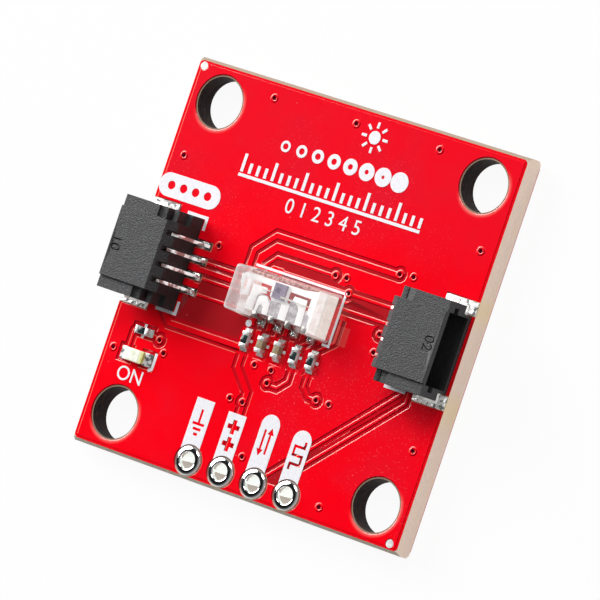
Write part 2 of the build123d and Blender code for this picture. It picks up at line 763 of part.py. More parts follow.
def build():
    """Builds every sub-part by name."""
    named = {
        "board_laminate": [board_core()],
        "solder_mask_top": [mask_top()],
        "solder_mask_bottom": [mask_bottom()],
        "printed_marks": printed_marks(),
        "copper_marks": land_fill(mark_spots()),
    }
    for index, (x, y) in enumerate(header_spots):
        named[f"plated_hole_{index + 1}"] = [plated_hole(x, y)]
    for turn, end in ((-1, "left"), (1, "right")):
        body = at_socket(turn, housing())
        named[f"{end}_socket_housing"] = [body]
        metal = []
        for index, y in enumerate(contact_rows):
            pin = at_socket(turn, contact(y - socket_row_y))
            named[f"{end}_contact_{index + 1}"] = [pin]
            metal.append(pin)
        for side, name in ((-1, "a"), (1, "b")):
            angle = at_socket(turn, anchor(side))
            named[f"{end}_anchor_{name}"] = [angle]
            metal.append(angle)
        named[f"{end}_socket_solder"] = [socket_solder(turn, metal, body)]
    leads = sensor_metal()
    for index, lead in enumerate(leads):
        named[f"sensor_lead_{index + 1}"] = [lead]
    named["sensor_die"] = [die()]
    named["sensor_bond_wires"] = bond_wires()
    inside = leads + named["sensor_die"] + named["sensor_bond_wires"]
    package = sensor_package(inside)
    named["sensor_package"] = [package]
    lands = pads()
    sensor_lands = lands[-lead_count:]
    named["sensor_solder"] = [mound(land, lead_thickness * 1.6, solder_taper) - leads - package
                              for land in sensor_lands]
    resistors = [chip_frame(*row_spots[column], False) for column in resistor_columns]
    capacitors = [chip_frame(*row_spots[column], False) for column in capacitor_columns]
    feed = chip_frame(led_resistor_x, led_resistor_y, True)
    for index, place in enumerate(resistors + [feed]):
        label = f"resistor_{index + 1}" if index < len(resistors) else "light_resistor"
        named[f"{label}_body"] = [place * chip_core(chip_length, chip_width, resistor_height)]
        named[f"{label}_element"] = [place * element()]
        named[f"{label}_caps"] = [place * caps(chip_length, chip_width, resistor_height,
                                               terminal_length)]
    for index, place in enumerate(capacitors):
        label = f"capacitor_{index + 1}"
        named[f"{label}_body"] = [place * chip_core(chip_length, chip_width, capacitor_height)]
        named[f"{label}_caps"] = [place * caps(chip_length, chip_width, capacitor_height,
                                               terminal_length)]
    light = chip_frame(led_x, led_y, True)
    core, lens, terminals, chip = led_parts()
    named["light_base"] = [light * core]
    named["light_lens"] = [light * lens]
    named["light_terminals"] = [light * terminal for terminal in terminals]
    named["light_die"] = [light * chip]
    low_joints = end_joints(chip_length, chip_width, resistor_height, pad_gap / 2, solder_reach)
    high_joints = end_joints(chip_length, chip_width, capacitor_height, pad_gap / 2, solder_reach)
    named["chip_solder"] = [place * joint for place in resistors + [feed] for joint in low_joints]
    named["chip_solder"] += [place * joint for place in capacitors for joint in high_joints]
    light_joints = end_joints(led_length, led_width, led_base_height,
                              led_length / 2 - led_terminal_length, led_land_reach)
    named["light_solder"] = [light * joint for joint in light_joints]
    return named


os.makedirs("parts", exist_ok=True)
for name, shapes in build().items():
    export_step(Compound(children=solids_of(shapes)), f"parts/{name}.step")
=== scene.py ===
"""Light sensor module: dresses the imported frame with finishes, fine pieces, lamps and a camera."""

import logging
import math
from contextlib import contextmanager
from dataclasses import dataclass
from enum import Enum
from typing import Callable, Iterable, Iterator, Optional, Sequence, Union

import bmesh
import bpy
from mathutils import Matrix, Vector


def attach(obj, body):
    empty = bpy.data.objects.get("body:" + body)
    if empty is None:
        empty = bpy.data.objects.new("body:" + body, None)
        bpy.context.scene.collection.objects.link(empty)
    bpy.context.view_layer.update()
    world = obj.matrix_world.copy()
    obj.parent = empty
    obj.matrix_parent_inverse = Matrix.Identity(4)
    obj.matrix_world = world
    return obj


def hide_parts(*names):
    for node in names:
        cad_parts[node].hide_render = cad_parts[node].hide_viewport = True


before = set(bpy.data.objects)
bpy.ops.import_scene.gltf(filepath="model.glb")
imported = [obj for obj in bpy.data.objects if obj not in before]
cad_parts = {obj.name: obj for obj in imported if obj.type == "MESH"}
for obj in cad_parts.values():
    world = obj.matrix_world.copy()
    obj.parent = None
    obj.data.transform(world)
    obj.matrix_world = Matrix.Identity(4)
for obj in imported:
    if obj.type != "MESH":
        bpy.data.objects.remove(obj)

LOG = logging.getLogger("light_sensor_module")
MM = 0.001
ROOT = "root"
BLACK = (0.0, 0.0, 0.0)
WHITE = (1.0, 1.0, 1.0, 1.0)
SIDES = (-1, 1)

UPWARD = 0.9  # Least upward share of the direction of a face that is a top
HAIR = 0.001  # Millimetres that tell points apart

# Places on the board in millimetres, shared by several sub-assemblies
BOARD_TOP = 1.6
FOUR_STEPS = (-1.5, -0.5, 0.5, 1.5)
HEADER_ROW = -11.43
HEADER_SPOTS = tuple((step * 2.54, HEADER_ROW) for step in FOUR_STEPS)
SOCKET_MIDDLE = -0.05
SOLDER_ROOT = 0.05
CHIP_ROW = -3.25
CHIP_COLUMNS = tuple(step * 1.27 for step in range(-2, 3))
LIGHT_RESISTOR = (-10.0, -4.8)

Triple = tuple[float, float, float]
Colour = Triple
Point = tuple[float, float]
Outline = list[Point]
Operand = Union["Signal", float]
Piece = bpy.types.Object
Socket = bpy.types.NodeSocket
Material = bpy.types.Material
Tone = Union[Colour, Socket]


class Slot(Enum):
    """Material slots of the record that the new pieces take their finish from."""

    LAMINATE = "laminate"
    LACQUER = "red_lacquer"
    INK = "white_ink"
    MOULDING = "black_moulding"
    BRONZE = "tinned_bronze"
    SOLDER = "solder"
    RESIN = "clear_resin"
    FRAME = "silvered_frame"
    DIE = "die_coating"
    WIRE = "bond_wire"
    GLAZE = "dark_glaze"
    CAPS = "tinned_caps"
    TAN = "tan_ceramic"
    CERAMIC = "white_ceramic"
    LENS = "milky_resin"
    LIGHT_BASE = "light_base_resin"


class End(Enum):
    """End of the board that a cable socket stands at, with its direction along X."""

    LEFT = -1
    RIGHT = 1


# Shader maths

class Signal:
    """A shader socket that takes part in sums; each operator adds its Math node."""

    def __init__(self, shader: "Shader", socket: Socket) -> None:
        """Keeps the socket and the shader that it belongs to."""
        self.shader = shader
        self.socket = socket

    def __add__(self, other: Operand) -> "Signal":
        """Sum."""
        return self.shader.math("ADD", self, other)

    __radd__ = __add__

    def __sub__(self, other: Operand) -> "Signal":
        """Difference."""
        return self.shader.math("SUBTRACT", self, other)

    def __rsub__(self, other: Operand) -> "Signal":
        """Difference from a number."""
        return self.shader.math("SUBTRACT", other, self)

    def __mul__(self, other: Operand) -> "Signal":
        """Product."""
        return self.shader.math("MULTIPLY", self, other)

    __rmul__ = __mul__

    def __lt__(self, other: Operand) -> "Signal":
        """1 where this is less than the other, else 0."""
        return self.shader.math("LESS_THAN", self, other)

    def __gt__(self, other: Operand) -> "Signal":
        """1 where this is greater than the other, else 0."""
        return self.shader.math("GREATER_THAN", self, other)

    def ramp(self, low: float, high: float) -> "Signal":
        """Smooth step from 0 at low to 1 at high.

        Args:
            low: Value at which the step starts.
            high: Value at which the step ends.

        Returns:
            The step as a new signal.
        """
        node = self.shader.node("ShaderNodeMapRange", {"interpolation_type": "SMOOTHSTEP"},
                                {"Value": self, "From Min": low, "From Max": high})
        return Signal(self.shader, node.outputs["Result"])


class Shader:
    """The nodes of a material or world under construction, in object coordinates."""

    def __init__(self, name: str, world: bool = False) -> None:
        """Starts a new material, or a new world, of that name without nodes.

        Args:
            name: Name of the material or world.
            world: Whether it is a world.
        """
        self.owner = (bpy.data.worlds if world else bpy.data.materials).new(name)
        self.owner.use_nodes = True
        self.tree = self.owner.node_tree
        self.tree.nodes.clear()
        self.place = self.node("ShaderNodeTexCoord", {}, {}).outputs["Object"]

    def node(self, kind: str, settings: dict, values: dict) -> bpy.types.Node:
        """Adds one node.

        Args:
            kind: Blender's name of the node type.
            settings: Properties of the node, set first.
            values: Numbers, colours, sockets or signals for its inputs, by name or index.

        Returns:
            The new node.
        """
        made = self.tree.nodes.new(kind)
        for key, value in settings.items():
            setattr(made, key, value)
        for key, value in values.items():
            socket = value.socket if isinstance(value, Signal) else value
            if isinstance(socket, Socket):
                self.tree.links.new(socket, made.inputs[key])
            else:
                made.inputs[key].default_value = socket
        return made

    def math(self, operation: str, first: Operand, second: Operand) -> Signal:
        """Math node of two operands."""
        node = self.node("ShaderNodeMath", {"operation": operation}, {0: first, 1: second})
        return Signal(self, node.outputs[0])

    def axis(self, name: str) -> Signal:
        """Object coordinate X, Y or Z, in millimetres."""
        node = self.node("ShaderNodeSeparateXYZ", {}, {0: self.place})
        return Signal(self, node.outputs[name]) * (1 / MM)

    def facing(self, name: str) -> Signal:
        """Component X, Y or Z of the surface's direction.

        Args:
            name: Letter of the axis.

        Returns:
            The component, from -1 to 1.
        """
        geometry = self.node("ShaderNodeNewGeometry", {}, {})
        node = self.node("ShaderNodeSeparateXYZ", {}, {0: geometry.outputs["True Normal"]})
        return Signal(self, node.outputs[name])

    def box(self, along: Point, across: Point) -> Signal:
        """Marks a rectangle of the board.

        Args:
            along: Its lowest and highest X in millimetres.
            across: Its lowest and highest Y in millimetres.

        Returns:
            1 inside it, else 0.
        """
        x, y = self.axis("X"), self.axis("Y")
        return (x > along[0]) * (x < along[1]) * (y > across[0]) * (y < across[1])

    def noise(self, per_mm: float, detail: float = 2.0, stretch: Triple = (1, 1, 1)) -> Signal:
        """Noise of about the given number of blobs in a millimetre.

        Args:
            per_mm: Blobs in a millimetre.
            detail: Octaves of finer noise.
            stretch: Factor on the blobs' number along each axis.

        Returns:
            Noise from 0 to 1.
        """
        scaled = self.node("ShaderNodeMapping", {}, {"Vector": self.place, "Scale": stretch})
        node = self.node("ShaderNodeTexNoise", {}, {"Vector": scaled.outputs[0],
                                                    "Scale": per_mm / MM, "Detail": detail})
        return Signal(self, node.outputs[0])

    def specks(self, per_mm: float, radius: float) -> Signal:
        """Scattered round specks, 1 inside; radius is a share of their mean distance."""
        node = self.node("ShaderNodeTexVoronoi", {}, {"Vector": self.place, "Scale": per_mm / MM})
        return Signal(self, node.outputs["Distance"]) < radius

    def blend(self, share: Operand, first: Tone, second: Tone) -> Socket:
        """Blends two colours.

        Args:
            share: Share of the second colour, from 0 to 1.
            first: Colour at share 0.
            second: Colour at share 1.

        Returns:
            The blended colour.
        """
        tones = [(*tone, 1.0) if isinstance(tone, tuple) else tone for tone in (first, second)]
        node = self.node("ShaderNodeMix", {"data_type": "RGBA"},
                         {0: share, 6: tones[0], 7: tones[1]})
        return node.outputs[2]

    def bump(self, height: Signal, rise: float) -> Socket:
        """Direction of a surface raised by a height signal; rise is in millimetres."""
        node = self.node("ShaderNodeBump", {}, {"Height": height, "Distance": rise * MM})
        return node.outputs[0]

    def surface(self, values: dict) -> Socket:
        """Principled shader with the given socket values."""
        return self.node("ShaderNodeBsdfPrincipled", {}, values).outputs[0]

    def mixed(self, share: Operand, first: Socket, second: Socket) -> Socket:
        """Mix of two shaders by the share of the second."""
        return self.node("ShaderNodeMixShader", {}, {0: share, 1: first, 2: second}).outputs[0]

    def finished(self, shader: Socket, kind: str = "Material") -> Union[Material, bpy.types.World]:
        """Ends the material or world with a shader on its output."""
        self.node(f"ShaderNodeOutput{kind}", {}, {"Surface": shader})
        return self.owner


# Finishes

@dataclass(frozen=True)
class LacquerFinish:
    """Glossy red lacquer, bright over copper and darker over bare laminate."""

    copper_tone: Colour = (0.98, 0.0, 0.008)
    worn_tone: Colour = (0.80, 0.008, 0.024)
    bare_tone: Colour = (0.45, 0.010, 0.016)
    groove_tone: Colour = (0.64, 0.003, 0.012)
    margin_tone: Colour = (0.86, 0.003, 0.010)
    lit_tone: Colour = (0.92, 0.15, 0.12)
    shaded_tone: Colour = (0.34, 0.001, 0.008)
    dust_tone: Colour = (0.95, 0.35, 0.35)
    hole_highlight_tone: Colour = (0.98, 0.22, 0.20)
    copper_level: float = 1.585
    margin: float = 12.15
    worn_rise: Point = (2.0, 9.0)
    upper_grooves: Point = (3.0, 3.4)
    lower_grooves: Point = (-3.2, -3.5)
    groove_corner: Point = (-3.2, -2.5)
    wedge_corner: Point = (2.0, -8.0)
    lit_patch: tuple[Point, Point] = ((3.4, 4.4), (-1.8, -0.6))
    chip_area: tuple[Point, Point] = ((-3.1, 3.1), (-4.25, -2.55))
    hole_place: float = 10.16
    crescent: Point = (1.78, 2.02)
    crescent_side: Point = (-0.8, 1.6)
    roughness: float = 0.11
    gloss: float = 0.35

    def material(self) -> Material:
        """Builds the lacquer's material.

        Returns:
            The material.
        """
        shader = Shader("red_lacquer")
        x, y, z = (shader.axis(name) for name in "XYZ")
        upper = z > 1.0
        bare = (z < self.copper_level) * upper
        mottle, cloud = shader.noise(0.35, detail=3.0), shader.noise(0.13)
        haze = (mottle.ramp(0.35, 0.8) * 0.4 + cloud.ramp(0.5, 0.75) * 0.45
                + y.ramp(*self.worn_rise) * 0.5)
        copper = shader.blend(haze, self.copper_tone, self.worn_tone)
        # Narrow clearances look paler than broad ones, and the board's margin paler still
        wedge = (x > self.wedge_corner[0]) * (y < self.wedge_corner[1])
        narrow = (y.ramp(*self.upper_grooves) + y.ramp(*self.lower_grooves)
                  + (x > self.groove_corner[0]) * (y < self.groove_corner[1])) * (1.0 - wedge)
        bared = shader.blend(narrow, self.bare_tone, self.groove_tone)
        band = (-self.margin, self.margin)
        bared = shader.blend(shader.box(band, band), self.margin_tone, bared)
        tone = shader.blend(bare, copper, bared)
        tone = shader.blend(shader.box(*self.lit_patch) * 0.3, tone, self.lit_tone)
        calm = shader.box(*self.chip_area)
        tone = shader.blend(calm * bare * 0.7, tone, self.copper_tone)
        # Slopes beside the tracks catch or lose the light by the way they face
        turned = ((shader.facing("Y") - shader.facing("X")) * upper * (1.0 - calm * 0.75)
                  * shader.box((-2 * self.margin, self.margin), band))
        tone = shader.blend(turned.ramp(0.05, 0.3), tone, self.lit_tone)
        tone = shader.blend(turned.ramp(-0.05, -0.3), tone, self.shaded_tone)
        tone = shader.blend(shader.specks(1.1, 0.035) * 0.6, tone, self.dust_tone)
        fine_dust = shader.specks(5.0, 0.2) * cloud.ramp(0.45, 0.7) * mottle
        tone = shader.blend(fine_dust * 0.2, tone, self.dust_tone)
        # Painted highlight: a pale crescent where the lacquer falls towards each mounting hole
        tone = shader.blend(self.painted_hole_highlights(shader, x, y) * upper, tone, self.hole_highlight_tone)
        orange_peel = shader.noise(2.2, detail=3.0)
        return shader.finished(shader.surface({
            "Base Color": tone, "Roughness": self.roughness + orange_peel * 0.06,
            "Normal": shader.bump(orange_peel, 0.005), "Specular IOR Level": self.gloss}))

    def painted_hole_highlights(self, shader: Shader, x: Signal, y: Signal) -> Signal:
        """Painted highlights, crescent-shaped, on the lacquer's fall towards each mounting hole.

        Args:
            shader: Material under construction.
            x: Place along X in millimetres.
            y: Place along Y in millimetres.

        Returns:
            Share of the painted highlights' tone.
        """
        across, along = (place - ((place > 0.0) * (2 * self.hole_place) - self.hole_place)
                         for place in (x, y))
        reach = shader.math("SQRT", across * across + along * along, 0.0)
        side = (across - along * 1.4).ramp(*self.crescent_side)
        return (1.0 - reach.ramp(*self.crescent)) * side * 0.62


@dataclass(frozen=True)
class LaminateFinish:
    """Cut glass laminate, pale at the edges and dark, with streaks, in the drilled holes."""

    edge_tone: Colour = (0.62, 0.57, 0.48)
    warm_tone: Colour = (0.66, 0.56, 0.43)
    hole_tone: Colour = (0.012, 0.008, 0.010)
    streak_tone: Colour = (0.075, 0.035, 0.024)
    rim_tone: Colour = (0.30, 0.20, 0.14)
    side_glow: Colour = (0.31, 0.215, 0.185)
    tint: Colour = (0.64, 0.56, 0.24)
    tinted: tuple[Point, ...] = ((2.9, 1.5), (-3.4, 1.7))
    hole_reach: float = 11.95
    level: float = 0.4
    gloss: float = 0.1

    def material(self) -> Material:
        """Builds the laminate's material.

        Returns:
            The material.
        """
        shader = Shader("laminate")
        y, upward = shader.axis("Y"), shader.facing("Z")
        layers = shader.noise(1.0, detail=4.0, stretch=(1, 1, 6))
        edge = shader.blend(layers.ramp(0.3, 0.7), self.edge_tone, self.warm_tone)
        for middle, half in self.tinted:
            near = y.ramp(middle - half, middle) * y.ramp(middle + half, middle)
            edge = shader.blend(near * 0.7, edge, self.tint)
        inner = shader.box((-self.hole_reach, self.hole_reach), (-self.hole_reach, self.hole_reach))
        rim = (upward > self.level) * inner * (shader.axis("Z") > 1.0)
        tone = shader.blend(shader.facing("Y").ramp(0.2, 0.5) * 0.75 + rim, edge, self.rim_tone)
        drilled = (upward < self.level) * inner
        streaks = shader.noise(2.2, detail=5.0, stretch=(1, 1, 7)).ramp(0.42, 0.68)
        tone = shader.blend(drilled, tone,
                            shader.blend(streaks, self.hole_tone, self.streak_tone))
        # Painted light: the edge facing +X glows as if a lamp lit it
        lit = shader.facing("X").ramp(0.3, 0.8) * (1.0 - drilled)
        return shader.finished(shader.surface({
            "Base Color": tone, "Roughness": 0.55 + layers * 0.2,
            "Specular IOR Level": self.gloss,
            "Normal": shader.bump(shader.noise(5.0, detail=4.0, stretch=(1, 1, 3)), 0.02),
            "Emission Color": shader.blend(lit, BLACK, self.side_glow),
            "Emission Strength": 1.0}))


@dataclass(frozen=True)
class MouldingFinish:
    """Black plastic with the fine grain of a spark-eroded mould; painted shade darkens its flanks
    and low steps, and painted glints light its grain.
    """

    tone: Colour = (0.040, 0.040, 0.042)
    painted_shade_tone: Colour = (0.013, 0.013, 0.014)
    painted_glint_tone: Colour = (0.115, 0.118, 0.125)
    grain: float = 11.5
    relief: float = 0.08
    lit_heights: Point = (3.6, 4.3)

    def material(self) -> Material:
        """Builds the moulding's material.

        Returns:
            The material.
        """
        shader = Shader("black_moulding")
        grain, broad = shader.noise(self.grain, detail=6.0), shader.noise(1.2)
        upward = shader.facing("Z").ramp(0.5, 0.95)
        high = shader.axis("Z").ramp(*self.lit_heights)
        # Painted shade: flanks and the steps below the roof take the darker tone
        tone = shader.blend(upward * high, self.painted_shade_tone, self.tone)
        # Painted glints: the grain's pale specks, fading on flanks and low steps
        painted_glints = grain.ramp(0.48, 0.7) * (0.3 + upward * 0.7)
        tone = shader.blend(painted_glints * (0.35 + broad * 0.5) * (0.2 + high * 0.8), tone,
                            self.painted_glint_tone)
        return shader.finished(shader.surface({
            "Base Color": tone, "Roughness": 0.45 + grain * 0.25,
            "Normal": shader.bump(grain, self.relief)}))


@dataclass(frozen=True)
class MottledFinish:
    """An opaque material, such as ink or ceramic, that wanders between two tones."""

    name: str
    tone: Colour
    shade: Colour
    roughness: float = 0.3
    grain: float = 6.0
    rise: float = 0.006
    metallic: float = 0.0
    band: Point = (0.35, 0.65)
    painted_glow: float = 0.0
    gloss: float = 0.5
    spread: float = 0.12
    octaves: float = 3.0

    def material(self) -> Material:
        """Builds the material.

        Returns:
            The material.
        """
        shader = Shader(self.name)
        mottle = shader.noise(self.grain, detail=self.octaves)
        tone = shader.blend(mottle.ramp(*self.band), self.tone, self.shade)
        # The emission of its own tone is a painted glow, standing in for light
        return shader.finished(shader.surface({
            "Base Color": tone, "Metallic": self.metallic, "Specular IOR Level": self.gloss,
            "Roughness": self.roughness + mottle * self.spread,
            "Normal": shader.bump(mottle, self.rise),
            "Emission Color": tone, "Emission Strength": self.painted_glow}))


@dataclass(frozen=True)
class MetalFinish(MottledFinish):
    """A bright metal with fine unevenness."""

    roughness: float = 0.2
    grain: float = 4.0
    rise: float = 0.01
    metallic: float = 0.8
    band: Point = (0.3, 0.7)
    spread: float = 0.1


@dataclass(frozen=True)
class RingFinish:
    """Smooth bright tin, with a darker band on one side of a plated hole's barrel and a painted glow
    deep in the barrel.
    """

    tone: Colour = (0.95, 0.96, 0.96)
    barrel_tone: Colour = (0.84, 0.88, 0.86)
    band_tone: Colour = (0.36, 0.31, 0.27)
    mouth: Point = (1.42, 1.5)
    band: Point = (HEADER_ROW - 0.02, HEADER_ROW - 0.1)
    painted_glow: float = 0.45

    def material(self) -> Material:
        """Builds the ring's material.

        Returns:
            The material.
        """
        shader = Shader("plated_ring")
        uneven = shader.noise(1.5)
        deep = 1.0 - shader.axis("Z").ramp(*self.mouth)
        band = (shader.axis("Y") + uneven * 0.1).ramp(*self.band)
        tone = shader.blend(deep, self.tone, shader.blend(band, self.barrel_tone, self.band_tone))
        # Deep in the barrel the tone glows: painted light
        return shader.finished(shader.surface({
            "Base Color": tone, "Metallic": 1.0 - deep * 0.7, "Roughness": 0.08 + deep * 0.35,
            "Normal": shader.bump(uneven, 0.02),
            "Emission Color": shader.blend(deep, BLACK, tone), "Emission Strength": self.painted_glow}))


@dataclass(frozen=True)
class ResinFinish:
    """Clear resin that looks a little milky, more so at one end, with painted white highlights along
    its rounded edges and a painted sheen where it is seen at a slant.
    """

    tone: Colour = (0.93, 0.93, 0.92)
    clear_tone: Colour = (0.97, 0.96, 0.96)
    clouding: float = 0.14
    body: float = 0.03
    rim: float = 0.25
    end_haze: float = 0.9
    end_reach: Point = (-3.1, -3.5)

    def material(self) -> Material:
        """Builds the resin's material.

        Returns:
            The material.
        """
        shader = Shader("clear_resin")
        cloud = shader.noise(1.3, detail=3.0)
        milky = shader.surface({
            "Base Color": (*self.tone, 1.0), "Roughness": 0.12 + cloud * 0.08,
            "Normal": shader.bump(cloud, 0.01), "IOR": 1.45})
        clear = shader.node("ShaderNodeBsdfTransparent", {}, {"Color": (*self.clear_tone, 1.0)})
        weight = shader.node("ShaderNodeLayerWeight", {}, {"Blend": 0.35})
        glance = Signal(shader, weight.outputs["Facing"])
        across, along, upward = (shader.facing(name) for name in "XYZ")
        # Painted highlights: rounded edges and corners turn milky white
        corner = (across * across * along * along).ramp(0.02, 0.2)
        edge = upward.ramp(0.12, 0.3) * (1.0 - upward.ramp(0.9, 0.99)) + corner * 0.5
        end = shader.axis("X").ramp(*self.end_reach) * self.end_haze
        # The glancing share is a painted sheen, standing in for the resin's reflection at a slant
        share = cloud * self.clouding + glance * self.rim + self.body + edge + end * cloud
        return shader.finished(shader.mixed(share, clear.outputs[0], milky))


@dataclass(frozen=True)
class CloudFinish:
    """Resin clouded to near white, with a painted glow in place of the light it scatters, strongest
    on its flanks so that they stay pale.
    """

    name: str
    tone: Colour
    shade: Colour
    top_glow: Colour
    flank_glow: Colour
    grain: float = 2.6

    def material(self) -> Material:
        """Builds the material.

        Returns:
            The material.
        """
        shader = Shader(self.name)
        mottle = shader.noise(self.grain, detail=4.0)
        tone = shader.blend(mottle.ramp(0.42, 0.68), self.tone, self.shade)
        # Painted light: the glow is stronger on the flanks than on the top
        glow = shader.blend(shader.facing("Z").ramp(0.3, 0.95), self.flank_glow, self.top_glow)
        return shader.finished(shader.surface({
            "Base Color": tone, "Roughness": 0.3 + mottle * 0.1,
            "Normal": shader.bump(mottle, 0.02), "Emission Color": glow,
            "Emission Strength": 1.0}))


Finish = Union[LacquerFinish, LaminateFinish, MouldingFinish, MottledFinish, RingFinish,
               ResinFinish, CloudFinish]

SLOT_FINISHES: dict[Slot, Finish] = {
    Slot.LAMINATE: LaminateFinish(),
    Slot.LACQUER: LacquerFinish(),
    Slot.INK: MottledFinish("white_ink", (0.90, 0.90, 0.93), (0.82, 0.80, 0.86), roughness=0.45,
                            grain=5.0, band=(0.25, 0.75), spread=0.15, octaves=4.0),
    Slot.MOULDING: MouldingFinish(),
    # Painted white glints and a red-brown painted reflection of the board on the contacts, with a
    # painted glow that lifts them from the housing's shadow
    Slot.BRONZE: MetalFinish("contact_tin", (0.99, 0.97, 0.96), (0.30, 0.17, 0.16), roughness=0.25,
                             grain=1.7, rise=0.05, metallic=0.3, band=(0.43, 0.55), painted_glow=0.4),
    Slot.SOLDER: MetalFinish("solder", (0.92, 0.93, 0.91), (0.66, 0.69, 0.67), roughness=0.16,
                             grain=3.5, rise=0.06, metallic=0.82),
    Slot.RESIN: ResinFinish(),
    # A painted glow keeps the frame white inside the resin
    Slot.FRAME: MottledFinish("silvered_frame", (0.97, 0.97, 0.96), (0.93, 0.92, 0.92),
                              grain=2.0, painted_glow=0.22),
    Slot.DIE: MottledFinish("die_coating", (0.30, 0.24, 0.36), (0.22, 0.18, 0.28)),
    Slot.WIRE: MetalFinish("bond_wire", (0.97, 0.95, 0.91), (0.90, 0.85, 0.78), metallic=0.1),
    Slot.GLAZE: MottledFinish("dark_glaze", (0.012, 0.022, 0.026), (0.03, 0.05, 0.05),
                              roughness=0.1),
    Slot.CAPS: MetalFinish("tinned_caps", (0.86, 0.87, 0.86), (0.62, 0.64, 0.62), roughness=0.3,
                           grain=6.0, rise=0.03, metallic=0.6),
    Slot.TAN: MottledFinish("tan_ceramic", (0.40, 0.30, 0.17), (0.32, 0.24, 0.15),
                            roughness=0.35),
    Slot.CERAMIC: MottledFinish("white_ceramic", (0.84, 0.85, 0.86), (0.74, 0.75, 0.77),
                                roughness=0.4),
    Slot.LENS: CloudFinish("milky_resin", (0.90, 0.91, 0.82), (0.68, 0.73, 0.54),
                           top_glow=(0.12, 0.12, 0.10), flank_glow=(0.42, 0.43, 0.34), grain=3.6),
    Slot.LIGHT_BASE: MottledFinish("light_base_resin", (0.78, 0.78, 0.30), (0.62, 0.66, 0.2),
                                   roughness=0.45),
}


class Palette:
    """The finishes as materials, each built when a piece first asks for it."""

    def __init__(self) -> None:
        """Starts with no material built."""
        self.built: dict[Finish, Material] = {}

    def material(self, slot: Slot, own: Optional[Finish]) -> Material:
        """Material of a piece's own finish, or else of its slot's.

        Args:
            slot: Material slot of the record.
            own: Finish in place of the slot's.

        Returns:
            The material, the same one each time.
        """
        finish = own or SLOT_FINISHES[slot]
        if finish not in self.built:
            self.built[finish] = finish.material()
        return self.built[finish]

    def dress(self, piece: Piece, slot: Slot, own: Optional[Finish]) -> None:
        """Gives a piece that material as its only one."""
        piece.data.materials.clear()
        piece.data.materials.append(self.material(slot, own))

    def dress_node(self, name: str, slot: Slot, own: Optional[Finish] = None) -> None:
        """Puts that material on a CAD node that stays in sight."""
        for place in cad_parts[name].material_slots:
            place.material = self.material(slot, own)
        LOG.info("node %s keeps its shape, finish %s", name, slot.value)


# Modelling

